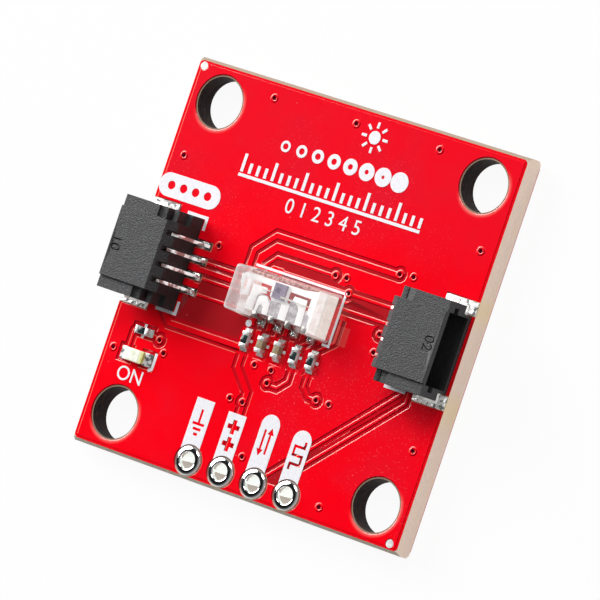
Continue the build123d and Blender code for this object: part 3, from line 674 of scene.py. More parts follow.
class Bench:
    """Modelling steps through Blender's operators, shared by every sub-assembly."""

    def __init__(self, palette: Palette) -> None:
        """Keeps the palette that finished pieces are dressed from."""
        self.palette = palette

    @staticmethod
    def alone(piece: Piece) -> None:
        """Selects one piece and nothing else.

        Args:
            piece: Piece to select.
        """
        bpy.ops.object.select_all(action="DESELECT")
        piece.select_set(True)
        bpy.context.view_layer.objects.active = piece

    @staticmethod
    def latest(name: str) -> Piece:
        """Names the piece that an operator has just added.

        Args:
            name: Name that it gets.

        Returns:
            The piece.
        """
        piece = bpy.context.view_layer.objects.active
        piece.name = name
        return piece

    @contextmanager
    def editing(self, piece: Piece, mode: str) -> Iterator[None]:
        """Edit mode on one piece with all of it selected.

        Args:
            piece: Piece to edit.
            mode: Element that is selected: VERT, EDGE or FACE.

        Yields:
            Nothing; the edit operators act on the piece.
        """
        self.alone(piece)
        bpy.ops.object.mode_set(mode="EDIT")
        bpy.ops.mesh.select_mode(type=mode)
        bpy.ops.mesh.select_all(action="SELECT")
        yield
        bpy.ops.object.mode_set(mode="OBJECT")

    @staticmethod
    def pick(piece: Piece, kind: str, test: Callable[[object], bool]) -> None:
        """Selects the elements of a piece in edit mode that pass a test.

        Args:
            piece: Piece that is being edited.
            kind: Sequence of the mesh to search: verts, edges or faces.
            test: Says of one element whether it is selected.
        """
        bpy.ops.mesh.select_all(action="DESELECT")
        mesh = bmesh.from_edit_mesh(piece.data)
        for element in getattr(mesh, kind):
            if test(element):
                element.select_set(True)
        mesh.select_flush_mode()
        bmesh.update_edit_mesh(piece.data)

    def pick_top(self, piece: Piece) -> None:
        """Selects the faces of a piece in edit mode that look up."""
        self.pick(piece, "faces", lambda face: face.normal.z > UPWARD)

    def apply(self, piece: Piece, kind: str, settings: dict) -> None:
        """Adds a modifier and applies it at once.

        Args:
            piece: Piece that it acts on.
            kind: Blender's name of the modifier type.
            settings: Its properties.
        """
        self.alone(piece)
        modifier = piece.modifiers.new(kind.lower(), kind)
        for key, value in settings.items():
            setattr(modifier, key, value)
        bpy.ops.object.modifier_apply(modifier=modifier.name)

    def bevel(self, piece: Piece, width: float, segments: int = 2, angle: float = 35.0) -> None:
        """Rounds the edges of a piece.

        Args:
            piece: Piece to round.
            width: Width of the rounding in millimetres.
            segments: Steps across it.
            angle: Least turn of the edges that are rounded, in degrees.
        """
        self.apply(piece, "BEVEL", {"width": width * MM, "segments": segments,
                                    "limit_method": "ANGLE", "angle_limit": math.radians(angle),
                                    "harden_normals": False})

    def settle(self, piece: Piece) -> None:
        """Moves a piece's place, turn and size into its mesh."""
        self.alone(piece)
        bpy.ops.object.transform_apply(location=True, rotation=True, scale=True)

    def merge(self, piece: Piece, reach: float = HAIR) -> None:
        """Joins points that lie together, then turns the faces outwards."""
        with self.editing(piece, "VERT"):
            bpy.ops.mesh.remove_doubles(threshold=reach * MM)
            bpy.ops.mesh.normals_make_consistent(inside=False)

    def smooth(self, piece: Piece, angle: float = 50.0) -> None:
        """Shades a piece smooth, keeping sharp edges sharp and broad flat faces flat.

        Args:
            piece: Piece to shade.
            angle: Least turn of an edge that stays sharp, in degrees.
        """
        self.alone(piece)
        bpy.ops.object.shade_smooth_by_angle(angle=math.radians(angle))
        self.apply(piece, "WEIGHTED_NORMAL", {"keep_sharp": True, "weight": 100})

    def block(self, name: str, low: Triple, high: Triple) -> Piece:
        """Box that a shaped piece starts from.

        Args:
            name: Name of the piece.
            low: Its lowest corner in millimetres.
            high: Its highest corner in millimetres.

        Returns:
            The box.
        """
        middle = [(a + b) / 2 * MM for a, b in zip(low, high)]
        size = [(b - a) * MM for a, b in zip(low, high)]
        bpy.ops.object.select_all(action="DESELECT")
        bpy.ops.mesh.primitive_cube_add(size=1.0, location=middle, scale=size)
        piece = self.latest(name)
        self.settle(piece)
        return piece

    def node_copy(self, node: str, name: str, joined: bool = True) -> Piece:
        """Merged copy of a CAD node, to be shaped further.

        Args:
            node: Name of the CAD node.
            name: Name of the copy.
            joined: Whether triangles in one plane become one face.

        Returns:
            The copy, with its own mesh.
        """
        piece = bpy.data.objects.new(name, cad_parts[node].data.copy())
        bpy.context.scene.collection.objects.link(piece)
        with self.editing(piece, "VERT"):
            bpy.ops.mesh.remove_doubles(threshold=0.0002 * MM)
            if joined:
                bpy.ops.mesh.dissolve_limited(angle_limit=math.radians(1.0))
        return piece

    def scattered(self, model: Piece, spots: Sequence[Point], height: float) -> Iterator[Piece]:
        """Sets a model at the first of several spots, then copies it to the others one by one.

        Args:
            model: Piece about the origin.
            spots: Places on the board in millimetres.
            height: Height of its origin in millimetres.

        Yields:
            The model, then each copy with its own mesh; a copy keeps what the model carries
            by then, such as the nodes that it stands for.
        """
        model.data.transform(Matrix.Translation(Vector((*spots[0], height)) * MM))
        yield model
        for x, y in spots[1:]:
            twin = model.copy()
            twin.data = model.data.copy()
            bpy.context.scene.collection.objects.link(twin)
            shift = Vector((x - spots[0][0], y - spots[0][1], 0))
            twin.data.transform(Matrix.Translation(shift * MM))
            yield twin

    def lathe(self, name: str, profile: Sequence[Point], steps: int = 48) -> Piece:
        """Closed ring turned from a profile round the Z axis.

        Args:
            name: Name of the piece.
            profile: Radii and heights in millimetres, round the section and back to its start.
            steps: Sides of the ring.

        Returns:
            The ring, centred on the origin.
        """
        radius, height = profile[0]
        bpy.ops.object.select_all(action="DESELECT")
        bpy.ops.mesh.primitive_circle_add(vertices=steps, radius=radius * MM,
                                          location=(0, 0, height * MM))
        piece = self.latest(name)
        self.settle(piece)
        with self.editing(piece, "EDGE"):
            for wide, tall in (*profile[1:], profile[0]):
                bpy.ops.mesh.extrude_region_move()
                bpy.ops.transform.resize(value=(wide / radius, wide / radius, 1),
                                         center_override=(0, 0, 0))
                bpy.ops.transform.translate(value=(0, 0, (tall - height) * MM))
                radius, height = wide, tall
        self.merge(piece)
        self.smooth(piece)
        return piece

    def plate(self, name: str, outlines: Iterable[Sequence[Point]], low: float, high: float,
              edge: float = 0.0, words: Iterable["Lettering"] = ()) -> Piece:
        """Flat plate of closed outlines, those inside others cut out of them.

        Args:
            name: Name of the piece.
            outlines: Corner points of each outline in millimetres.
            low: Height of its underside in millimetres.
            high: Height of its top in millimetres.
            edge: Radius of its rounded rim in millimetres.
            words: Lettering that is cut out of, or stands beside, the outlines.

        Returns:
            The plate as a mesh.
        """
        curve = bpy.data.curves.new(name, "CURVE")
        curve.dimensions = "2D"
        curve.fill_mode = "BOTH"
        for outline in outlines:
            spline = curve.splines.new("POLY")
            spline.points.add(len(outline) - 1)
            for point, (x, y) in zip(spline.points, outline):
                point.co = (x * MM, y * MM, 0, 1)
            spline.use_cyclic_u = True
        piece = bpy.data.objects.new(name, curve)
        bpy.context.scene.collection.objects.link(piece)
        self.joined(name, [piece] + [word.curve() for word in words])
        piece.data.extrude = ((high - low) / 2 - edge) * MM
        piece.data.bevel_depth = edge * MM
        piece.data.bevel_resolution = 1
        piece.location.z = (low + high) / 2 * MM
        bpy.ops.object.convert(target="MESH")
        self.settle(piece)
        self.merge(piece, reach=0.0005)
        return piece

    def bead(self, name: str, along: Point, across: Point, rise: float) -> Piece:
        """Rounded mound of solder on the board.

        Args:
            name: Name of the piece.
            along: Its two ends along X in millimetres.
            across: Its two sides along Y.
            rise: Height of its crown over the board.

        Returns:
            The mound.
        """
        piece = self.block(name, (min(along), min(across), BOARD_TOP - SOLDER_ROOT),
                           (max(along), max(across), BOARD_TOP + rise))
        with self.editing(piece, "FACE"):
            self.pick_top(piece)
            bpy.ops.mesh.bevel(offset=rise * 0.95 * MM, segments=5, profile=0.6)
        self.smooth(piece, angle=70)
        return piece

    def fillet(self, start: Point, way: Point, width: float, run: float, rise: float) -> Piece:
        """Rounded solder that climbs from the board up the end of a chip.

        Args:
            start: Middle of the chip's end in millimetres.
            way: Direction away from the chip.
            width: Width across that direction.
            run: How far it reaches from the chip.
            rise: Height at the chip's end.

        Returns:
            The solder.
        """
        under = 0.12
        piece = self.block("joint", (-under, -width / 2, -SOLDER_ROOT), (run, width / 2, rise))
        with self.editing(piece, "VERT"):
            self.pick(piece, "verts", lambda point: point.co.x > 0 and point.co.z > 0)
            bpy.ops.transform.translate(value=(0, 0, (SOLDER_ROOT - rise) * MM))
        self.bevel(piece, min(width, run) * 0.3, segments=4, angle=20)
        self.smooth(piece, angle=80)
        turn = Matrix(((way[0], -way[1], 0, start[0] * MM), (way[1], way[0], 0, start[1] * MM),
                       (0, 0, 1, BOARD_TOP * MM), (0, 0, 0, 1)))
        piece.data.transform(turn)
        return piece

    def joined(self, name: str, pieces: Sequence[Piece]) -> Piece:
        """Joins several pieces into the first and names it.

        Args:
            name: Name of the whole.
            pieces: Pieces to join.

        Returns:
            The first piece, with the others in it.
        """
        self.alone(pieces[0])
        for piece in pieces[1:]:
            piece.select_set(True)
        if pieces[1:]:
            bpy.ops.object.join()
        pieces[0].name = name
        return pieces[0]

    def hand_over(self, piece: Piece, slot: Slot, *nodes: str,
                  own: Optional[Finish] = None) -> Piece:
        """Dresses a finished piece, rides it on the board and lets it stand for CAD nodes.

        Args:
            piece: The finished piece.
            slot: Material slot of the record.
            nodes: CAD nodes that it stands for.
            own: Finish of its own in place of the slot's.

        Returns:
            The piece.
        """
        self.palette.dress(piece, slot, own)
        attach(piece, ROOT)
        if nodes:
            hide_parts(*nodes)
        LOG.info("piece %s, finish %s, %d faces", piece.name, slot.value, len(piece.data.polygons))
        return piece

    def soften(self, piece: Piece, slot: Slot, *nodes: str, edge: float,
               own: Optional[Finish] = None) -> Piece:
        """Rounds a piece's edges and hands it over.

        Args:
            piece: Piece to round.
            slot: Material slot of the record.
            nodes: CAD nodes that it stands for.
            edge: Width of the rounding in millimetres.
            own: Finish of its own in place of the slot's.

        Returns:
            The piece.
        """
        self.bevel(piece, edge)
        self.smooth(piece)
        return self.hand_over(piece, slot, *nodes, own=own)

    def soft_node(self, node: str, name: str, slot: Slot, edge: float,
                  own: Optional[Finish] = None) -> Piece:
        """Copy of a CAD node with softened edges, handed over in its place."""
        return self.soften(self.node_copy(node, name), slot, node, edge=edge, own=own)


@dataclass(frozen=True)
class Lettering:
    """A number or mark in Blender's own plain face, placed on the board."""

    words: str
    x: float
    y: float
    height: float
    turn: float = 0.0
    weight: float = 0.02

    def curve(self) -> Piece:
        """Makes the lettering as a flat curve in its place.

        Returns:
            The curve.
        """
        bpy.ops.object.select_all(action="DESELECT")
        bpy.ops.object.text_add(location=(self.x * MM, self.y * MM, 0),
                                rotation=(0, 0, math.radians(self.turn)))
        piece = Bench.latest("lettering")
        piece.data.body = self.words
        piece.data.size = self.height * 1.4 * MM
        piece.data.offset = self.weight * MM
        piece.data.align_x = "CENTER"
        piece.data.align_y = "CENTER"
        bpy.ops.object.convert(target="CURVE")
        return piece


def rounded(x: float, y: float, width: float, height: float, radius: float,
            steps: int = 6) -> Outline:
    """Outline of a rectangle with rounded corners about its middle.

    Args:
        x: Middle along X in millimetres.
        y: Middle along Y in millimetres.
        width: Size along X.
        height: Size along Y.
        radius: Radius of the corners.
        steps: Points on each corner, less one.

    Returns:
        The corner points in order.
    """
    points = []
    for side, up, start in ((1, 1, 0), (-1, 1, 90), (-1, -1, 180), (1, -1, 270)):
        for step in range(steps + 1):
            angle = math.radians(start + 90 * step / steps)
            points.append((x + side * (width / 2 - radius) + radius * math.cos(angle),
                           y + up * (height / 2 - radius) + radius * math.sin(angle)))
    return points


def disc(x: float, y: float, radius: float) -> Outline:
    """Outline of a round spot; its corners' radius is a hair less, so that no points meet."""
    return rounded(x, y, 2 * radius, 2 * radius, radius - HAIR)


def stroke(points: Sequence[Point], width: float) -> Outline:
    """Outline of a line with mitred corners.

    Args:
        points: Its path in millimetres.
        width: Its width.

    Returns:
        The corner points in order.
    """
    path = [Vector(point) for point in points]
    runs = [(end - start).normalized() for start, end in zip(path, path[1:])]
    left, right = [], []
    for index, point in enumerate(path):
        before, after = runs[max(index - 1, 0)], runs[min(index, len(runs) - 1)]
        along = (before + after).normalized()
        across = Vector((-along.y, along.x))
        reach = width / 2 / across.dot(Vector((-after.y, after.x)))
        left.append(tuple(point + across * reach))
        right.append(tuple(point - across * reach))
    return left + right[::-1]


# Sub-assemblies

@dataclass
class Board:
    """The laminate with its lacquer, plated holes and vias."""

    bench: Bench
    slope: float = 0.055
    fall: float = 0.022
    border: float = 12.3
    flat: float = 0.0005
    ring_profile: tuple[Point, ...] = (
        (0.51, 0.0), (0.94, 0.0), (0.94, 0.05), (0.56, 0.05), (0.56, 1.55), (0.93, 1.55),
        (0.93, 1.60), (0.91, 1.64), (0.86, 1.675), (0.78, 1.71), (0.70, 1.735), (0.63, 1.745),
        (0.57, 1.725), (0.53, 1.67), (0.515, 1.55), (0.51, 1.30))
    via_profile: tuple[Point, ...] = (
        (0.30, 0.0), (0.27, 0.010), (0.23, 0.022), (0.18, 0.024), (0.14, 0.012), (0.115, -0.02),
        (0.11, -0.045), (0.27, -0.045))
    well_profile: tuple[Point, ...] = (
        (0.13, -0.02), (0.125, 0.010), (0.09, 0.002), (0.01, -0.006), (0.01, -0.02))
    via_spots: tuple[Point, ...] = (
        (6.5, 3.5), (2.1, 2.22), (3.42, 1.42), (6.5, -0.35), (-0.12, -5.37), (3.67, -5.37),
        (-1.38, -6.97), (-8.7, -5.02), (-6.35, 11.43), (0, 11.43), (6.35, 11.43),
        (-11.43, 6.35), (11.43, 6.35), (-11.85, -6.33), (11.43, -6.35), (6.35, -11.43),
        (-0.12, -10.12), (7.5, 3.6), (2.95, 2.27), (6.5, -1.5), (-6.75, 1.68), (-1.42, -4.55),
        (-0.12, -4.55), (4.65, -5.37), (-2.35, -6.97), (-8.1, -5.72))
    mark_finish: Finish = MetalFinish("corner_mark", (0.96, 0.96, 0.95), (0.76, 0.75, 0.74),
                                      roughness=0.3, grain=3.0, rise=0.03, metallic=0.3)
    # Painted shade: near-black dishes in the via mouths stand for the shade deep in each hole
    via_shade_finish: Finish = MottledFinish("via_well", (0.03, 0.0, 0.003), (0.10, 0.0, 0.008),
                                        roughness=0.75, gloss=0.03)

    def build(self) -> None:
        """Makes and dresses the board's pieces."""
        palette = self.bench.palette
        palette.dress_node("board_laminate", Slot.LAMINATE)
        palette.dress_node("solder_mask_bottom", Slot.LACQUER)
        palette.dress_node("copper_marks", Slot.SOLDER, self.mark_finish)
        self.lacquer()
        self.rings()
        self.vias("via_rims", self.via_profile, 20)
        self.vias("via_wells", self.well_profile, 16, self.via_shade_finish)

    def lacquer(self) -> None:
        """Lacquer of the face, its step at every track's edge drawn out to a soft slope."""
        bench = self.bench
        piece = bench.node_copy("solder_mask_top", "face_lacquer", joined=False)
        top, flat = BOARD_TOP * MM, self.flat * MM
        with bench.editing(piece, "FACE"):
            bench.pick(piece, "faces", lambda face: face.normal.z > UPWARD
                       and face.calc_center_median().z > top - flat)
            bpy.ops.mesh.inset(thickness=self.slope * MM, use_even_offset=True,
                               use_boundary=True)
            bench.pick(piece, "verts", lambda point: abs(point.co.z - top) < flat
                       and max(point.co.x, abs(point.co.y)) < self.border * MM
                       and any(abs(edge.other_vert(point).co.z - top) > 2 * flat
                               for edge in point.link_edges))
            bpy.ops.transform.translate(value=(0, 0, -self.fall * MM))
        bench.smooth(piece, angle=12)
        bench.hand_over(piece, Slot.LACQUER, "solder_mask_top")

    def rings(self) -> None:
        """Tinned rings of the header row, domed where the solder has drawn up."""
        model = self.bench.lathe("plated_ring", self.ring_profile)
        for index, ring in enumerate(self.bench.scattered(model, HEADER_SPOTS, 0), 1):
            ring.name = f"plated_ring_{index}"
            self.bench.hand_over(ring, Slot.SOLDER, f"plated_hole_{index}", own=RingFinish())

    def vias(self, name: str, profile: Sequence[Point], steps: int,
             own: Optional[Finish] = None) -> None:
        """Rims of all the vias, or the near-black dishes of painted shade in their mouths, as one
        piece.

        Args:
            name: Name of the piece.
            profile: Section of one of them, from the board's top.
            steps: Sides of each.
            own: Finish in place of the lacquer's.
        """
        model = self.bench.lathe(name, profile, steps)
        pieces = list(self.bench.scattered(model, self.via_spots, BOARD_TOP))
        self.bench.hand_over(self.bench.joined(name, pieces), Slot.LACQUER, own=own)


@dataclass
class CableSocket:
    """One side-entry cable socket with its contacts, anchors and solder."""

    bench: Bench
    end: End
    number: str
    number_place: Point
    foot_reach: Point
    pool_reach: Point
    edge: float = 0.05
    sheet_edge: float = 0.03
    roof: float = 4.55
    number_height: float = 0.72
    number_depth: float = 0.09
    foot_half: float = 0.25
    foot_rise: float = 0.17
    pool_band: Point = (2.55, 3.42)
    pool_rise: float = 0.14
    # Painted glints and a painted glow on the brackets' tin
    bracket_finish: Finish = MetalFinish("bracket_tin", (0.98, 0.98, 0.96), (0.40, 0.36, 0.34),
                                         roughness=0.25, grain=2.5, rise=0.06, metallic=0.35,
                                         band=(0.46, 0.62), painted_glow=0.3)
    # Painted white highlights on near-black, a painted dark reflection of the shiny foot solder
    foot_finish: Finish = MetalFinish("foot_solder", (0.92, 0.94, 0.92), (0.09, 0.11, 0.10),
                                      roughness=0.18, grain=2.6, rise=0.08, band=(0.42, 0.52))
    # Painted glints on the anchor solder, and a painted glow that lifts it out of the socket's
    # shadow
    pool_finish: Finish = MetalFinish("anchor_solder", (0.98, 0.98, 0.96), (0.22, 0.24, 0.23),
                                      roughness=0.25, grain=3.5, rise=0.12, metallic=0.5,
                                      band=(0.5, 0.62), painted_glow=0.12)

    @property
    def side(self) -> str:
        """Name of the socket's end of the board."""
        return self.end.name.lower()

    def build(self) -> None:
        """Makes and dresses the socket's pieces."""
        self.housing()
        for index in range(1, len(FOUR_STEPS) + 1):
            self.bench.soft_node(f"{self.side}_contact_{index}", f"{self.side}_blade_{index}",
                                 Slot.BRONZE, self.sheet_edge)
        for letter in "ab":
            self.bench.soft_node(f"{self.side}_anchor_{letter}", f"{self.side}_bracket_{letter}",
                                 Slot.BRONZE, self.sheet_edge, self.bracket_finish)
        feet = [(SOCKET_MIDDLE + step - self.foot_half, SOCKET_MIDDLE + step + self.foot_half)
                for step in FOUR_STEPS]
        pools = [tuple(SOCKET_MIDDLE + side * place for place in self.pool_band)
                 for side in SIDES]
        self.solder("solder", self.foot_reach, feet, self.foot_rise, self.foot_finish,
                    f"{self.side}_socket_solder")
        self.solder("pools", self.pool_reach, pools, self.pool_rise, self.pool_finish)

    def housing(self) -> None:
        """Moulded housing with softened edges and the cavity number sunk into its roof."""
        node = f"{self.side}_socket_housing"
        piece = self.bench.node_copy(node, f"{self.side}_housing")
        self.bench.bevel(piece, self.edge)
        number = Lettering(self.number, *self.number_place, self.number_height,
                           -90 * self.end.value)
        tool = self.bench.plate("number_cutter", [], self.roof - self.number_depth,
                                self.roof + 1.0, words=[number])
        self.bench.apply(piece, "BOOLEAN", {"operation": "DIFFERENCE", "solver": "EXACT",
                                            "object": tool})
        bpy.data.objects.remove(tool)
        self.bench.smooth(piece, angle=40)
        self.bench.hand_over(piece, Slot.MOULDING, node)

    def solder(self, name: str, reach: Point, bands: Sequence[Point], rise: float, own: Finish,
               *nodes: str) -> None:
        """Mounds of solder, as one piece.

        Args:
            name: Name of the piece, after the socket's side.
            reach: Distances from the board's middle between which they lie along X.
            bands: Their two sides along Y.
            rise: Height of their crowns.
            own: Their finish.
            nodes: CAD nodes that the piece stands for.
        """
        along = tuple(self.end.value * place for place in reach)
        beads = [self.bench.bead(name, along, band, rise) for band in bands]
        piece = self.bench.joined(f"{self.side}_{name}", beads)
        self.bench.hand_over(piece, Slot.SOLDER, *nodes, own=own)


@dataclass
class LightSensor:
    """The clear sensor with its lead frame, die and wires."""

    bench: Bench
    ends: Point = (-3.55, 3.15)
    sides: Point = (-1.915, 1.185)
    height: float = 2.35
    draft: float = 0.052
    corner: float = 0.25
    body_edge: float = 0.08
    recess: Triple = (-2.6, 2.2, -1.565)
    lead_end: float = -1.36
    lead_edge: float = 0.03
    plate_band: Point = (2.73, 2.76)
    root_band: Point = (2.67, 2.72)
    die_middle: Point = (-0.51, 0.19)
    die_size: Point = (0.9, 0.97)
    die_band: Point = (2.76, 2.975)
    die_rim: float = 0.05
    die_sink: float = 0.008
    die_edge: float = 0.01
    window_shift: Point = (-0.12, 0.06)
    window_size: Point = (0.34, 0.36)
    window_band: Point = (2.965, 2.979)
    window_corner: float = 0.08
    window_edge: float = 0.002
    cloud_low: float = BOARD_TOP + 0.06
    cloud_edge: float = 0.12
    cloudy_ends: Point = (2.15, 2.98)
    cloudy_sides: Point = (-1.815, 1.035)
    cloudy_top: float = 2.88
    milky_ends: Point = (-3.48, -2.72)
    milky_sides: Point = (-1.795, 0.985)
    milky_top: float = 2.48
    lead_finish: Finish = MetalFinish("lead_tin", (0.62, 0.62, 0.58), (0.15, 0.15, 0.14),
                                      roughness=0.25, grain=3.0, rise=0.06, metallic=0.9)
    rear_finish: Finish = MottledFinish("frame_rear", (0.86, 0.50, 0.46), (0.34, 0.10, 0.08),
                                        grain=4.5)
    # Painted shade: the grey of the frame's lower roots stands for the bent metal in shade
    root_shade_finish: Finish = MottledFinish("frame_root", (0.70, 0.67, 0.70), (0.42, 0.38, 0.41),
                                        grain=3.5)
    window_finish: Finish = MottledFinish("die_window", (0.10, 0.08, 0.15), (0.20, 0.16, 0.26),
                                          roughness=0.25, grain=9.0)
    cloudy_finish: Finish = CloudFinish("cloudy_resin", (0.87, 0.86, 0.84), (0.74, 0.70, 0.66),
                                        top_glow=(0.24, 0.23, 0.22),
                                        flank_glow=(0.48, 0.55, 0.50))
    milky_finish: Finish = CloudFinish("milky_end", (0.88, 0.84, 0.83), (0.66, 0.44, 0.42),
                                       top_glow=(0.20, 0.19, 0.19),
                                       flank_glow=(0.42, 0.42, 0.40), grain=1.5)

    def build(self) -> None:
        """Makes and dresses the sensor's pieces."""
        self.leads()
        self.plates()
        self.die()
        self.body()
        self.cloud("cloudy_end", self.cloudy_ends, self.cloudy_sides, self.cloudy_top,
                   self.cloudy_finish)
        self.cloud("milky_end", self.milky_ends, self.milky_sides, self.milky_top,
                   self.milky_finish)
        self.bench.palette.dress_node("sensor_bond_wires", Slot.WIRE)
        self.bench.palette.dress_node("sensor_solder", Slot.SOLDER)

    def leads(self) -> None:
        """Leads with the rolled edges of stamped sheet, cut off where the plates begin."""
        for index in range(1, 5):
            node = f"sensor_lead_{index}"
            piece = self.bench.node_copy(node, f"lead_{index}")
            with self.bench.editing(piece, "FACE"):
                bpy.ops.mesh.bisect(plane_co=(0, self.lead_end * MM, 0), plane_no=(0, 1, 0),
                                    clear_outer=True, use_fill=True)
            self.bench.soften(piece, Slot.BRONZE, node, edge=self.lead_edge, own=self.lead_finish)

    def plates(self) -> None:
        """Silvered plates of the frame on the leads, its rear edge and its lower roots, painted grey
        as shade where the metal bends.
        """
        bar = [(-3.62, 0.55), (-3.3, 0.74), (1.1, 0.76), (2.2, 0.92), (2.2, -1.42), (2.06, -1.42),
               (2.0, -0.72), (1.78, -0.5), (1.76, 0.38), (0.14, 0.4), (0.12, -0.26), (0.38, -0.4),
               (0.38, -1.42), (-0.16, -1.42), (-0.2, -0.46), (-0.97, -0.46), (-1.2, -0.22),
               (-1.26, 0.38), (-2.78, 0.38), (-2.78, -0.6), (-3.35, -0.72), (-3.45, -0.2),
               (-3.62, 0.1)]
        slot = rounded(-3.19, 0.03, 0.2, 0.86, 0.07)
        left = [(-2.62, 0.17), (-1.55, 0.17), (-1.5, -0.17), (-1.85, -0.24), (-2.07, -0.42),
                (-2.17, -0.8), (-2.15, -1.42), (-2.72, -1.42), (-2.7, -0.75), (-2.62, -0.6)]
        inner = [(-1.95, -0.5), (-1.8, -0.4), (-1.42, -0.35), (-1.3, -0.42), (-1.24, -0.58),
                 (-1.04, -0.68), (-1.0, -1.42), (-1.4, -1.42), (-1.44, -1.02), (-1.6, -0.88),
                 (-1.76, -0.98), (-1.84, -1.42), (-2.0, -1.42)]
        right = [(0.5, 0.04), (0.56, 0.2), (1.5, 0.2), (1.56, -0.3), (1.62, -1.42), (1.14, -1.42),
                 (1.12, -0.6), (1.02, -0.36), (0.82, -0.18), (0.55, -0.06)]
        rear = [(-3.0, 0.80), (1.0, 0.82), (2.1, 0.96), (2.1, 1.04), (0.0, 1.02), (-3.0, 0.98)]
        roots = [[(-2.1, -0.45), (-1.85, -0.28), (-1.4, -0.3), (-1.1, -0.55), (-1.02, -0.38),
                  (-0.2, -0.38), (-0.2, -1.44), (-2.12, -1.44)],
                 [(0.3, -0.3), (0.5, 0.0), (0.85, -0.12), (1.08, -0.4), (1.16, -1.44),
                  (0.32, -1.44)],
                 [(1.6, -0.4), (2.0, -0.5), (2.14, -1.44), (1.58, -1.44)]]
        for name, outlines, band, edge, own in (
                ("frame_plates", [bar, slot, left, inner, right], self.plate_band, 0.012, None),
                ("frame_rear", [rear], self.plate_band, 0.01, self.rear_finish),
                ("frame_roots", roots, self.root_band, 0.012, self.root_shade_finish)):
            piece = self.bench.plate(name, outlines, *band, edge)
            self.bench.smooth(piece)
            self.bench.hand_over(piece, Slot.FRAME, own=own)

    def die(self) -> None:
        """Light-sensing die with the sunk field and the dark window of its face."""
        x, y = self.die_middle
        wide, deep = self.die_size
        low, high = self.die_band
        piece = self.bench.block("light_die_sensing", (x - wide / 2, y - deep / 2, low),
                                 (x + wide / 2, y + deep / 2, high))
        with self.bench.editing(piece, "FACE"):
            self.bench.pick_top(piece)
            bpy.ops.mesh.inset(thickness=self.die_rim * MM)
            bpy.ops.transform.translate(value=(0, 0, -self.die_sink * MM))
        self.bench.bevel(piece, self.die_edge)
        self.bench.hand_over(piece, Slot.DIE, "sensor_die")
        window = rounded(x + self.window_shift[0], y + self.window_shift[1], *self.window_size,
                         self.window_corner)
        piece = self.bench.plate("die_window", [window], *self.window_band, self.window_edge)
        self.bench.hand_over(piece, Slot.DIE, own=self.window_finish)

    def body(self) -> None:
        """Clear moulded body, drawn in towards its top, with its foot at each end."""
        x0, x1 = self.ends
        y0, y1 = self.sides
        left, right, face = self.recess
        outline = rounded((x0 + x1) / 2, (y0 + y1) / 2, x1 - x0, y1 - y0, self.corner)
        arc = len(outline) // 4
        outline[3 * arc:3 * arc] = [(left, y0), (left, face), (right, face), (right, y0)]
        top = BOARD_TOP + self.height
        piece = self.bench.plate("clear_body", [outline], BOARD_TOP, top)
        pull = self.height * self.draft * 2
        with self.bench.editing(piece, "VERT"):
            self.bench.pick(piece, "verts", lambda point: point.co.z > (top - HAIR) * MM)
            bpy.ops.transform.resize(value=(1 - pull / (x1 - x0), 1 - pull / (y1 - y0), 1),
                                     center_override=((x0 + x1) / 2 * MM, (y0 + y1) / 2 * MM, 0))
        self.bench.bevel(piece, self.body_edge, segments=3)
        self.bench.smooth(piece, angle=40)
        self.bench.hand_over(piece, Slot.RESIN, "sensor_package")

    def cloud(self, name: str, ends: Point, sides: Point, top: float, own: Finish) -> None:
        """Cloudier resin inside one end of the body.

        Args:
            name: Name of the piece.
            ends: Its two ends along X in millimetres.
            sides: Its two sides along Y.
            top: Height of its top.
            own: Its finish.
        """
        piece = self.bench.block(name, (ends[0], sides[0], self.cloud_low),
                                 (ends[1], sides[1], top))
        self.bench.bevel(piece, self.cloud_edge, segments=3)
        self.bench.smooth(piece, angle=40)
        self.bench.hand_over(piece, Slot.RESIN, own=own)


@dataclass
class SmallChips:
    """The row of resistors and capacitors, and the light's resistor."""

    bench: Bench
    resistors: tuple[str, ...] = ("resistor_1", "resistor_2", "resistor_3", "light_resistor")
    resistor_parts: tuple[tuple[str, Slot, float], ...] = (
        ("body", Slot.CERAMIC, 0.015), ("element", Slot.GLAZE, 0.006), ("caps", Slot.CAPS, 0.02))
    capacitors: tuple[str, ...] = ("capacitor_1", "capacitor_2")
    capacitor_parts: tuple[tuple[str, Slot, float], ...] = (("body", Slot.TAN, 0.03),
                                                            ("caps", Slot.CAPS, 0.03))
    resistor_rise: float = 0.26
    rises: tuple[float, ...] = (0.26, 0.38, 0.38, 0.26, 0.26)
    half_length: float = 0.5
    joint_width: float = 0.52
    joint_run: float = 0.24

    def build(self) -> None:
        """Makes and dresses the chips' parts, then the solder at their ends as one piece."""
        for chips, parts in ((self.resistors, self.resistor_parts),
                             (self.capacitors, self.capacitor_parts)):
            for chip in chips:
                for part, slot, edge in parts:
                    node = f"{chip}_{part}"
                    self.bench.soft_node(node, f"{node}_soft", slot, edge)
        joints = [((x, CHIP_ROW + way * self.half_length), (0, way), rise)
                  for x, rise in zip(CHIP_COLUMNS, self.rises) for way in SIDES]
        x, y = LIGHT_RESISTOR
        joints += [((x + way * self.half_length, y), (way, 0), self.resistor_rise)
                   for way in SIDES]
        beads = [self.bench.fillet(start, way, self.joint_width, self.joint_run, rise)
                 for start, way, rise in joints]
        self.bench.hand_over(self.bench.joined("chip_joints", beads), Slot.SOLDER, "chip_solder")


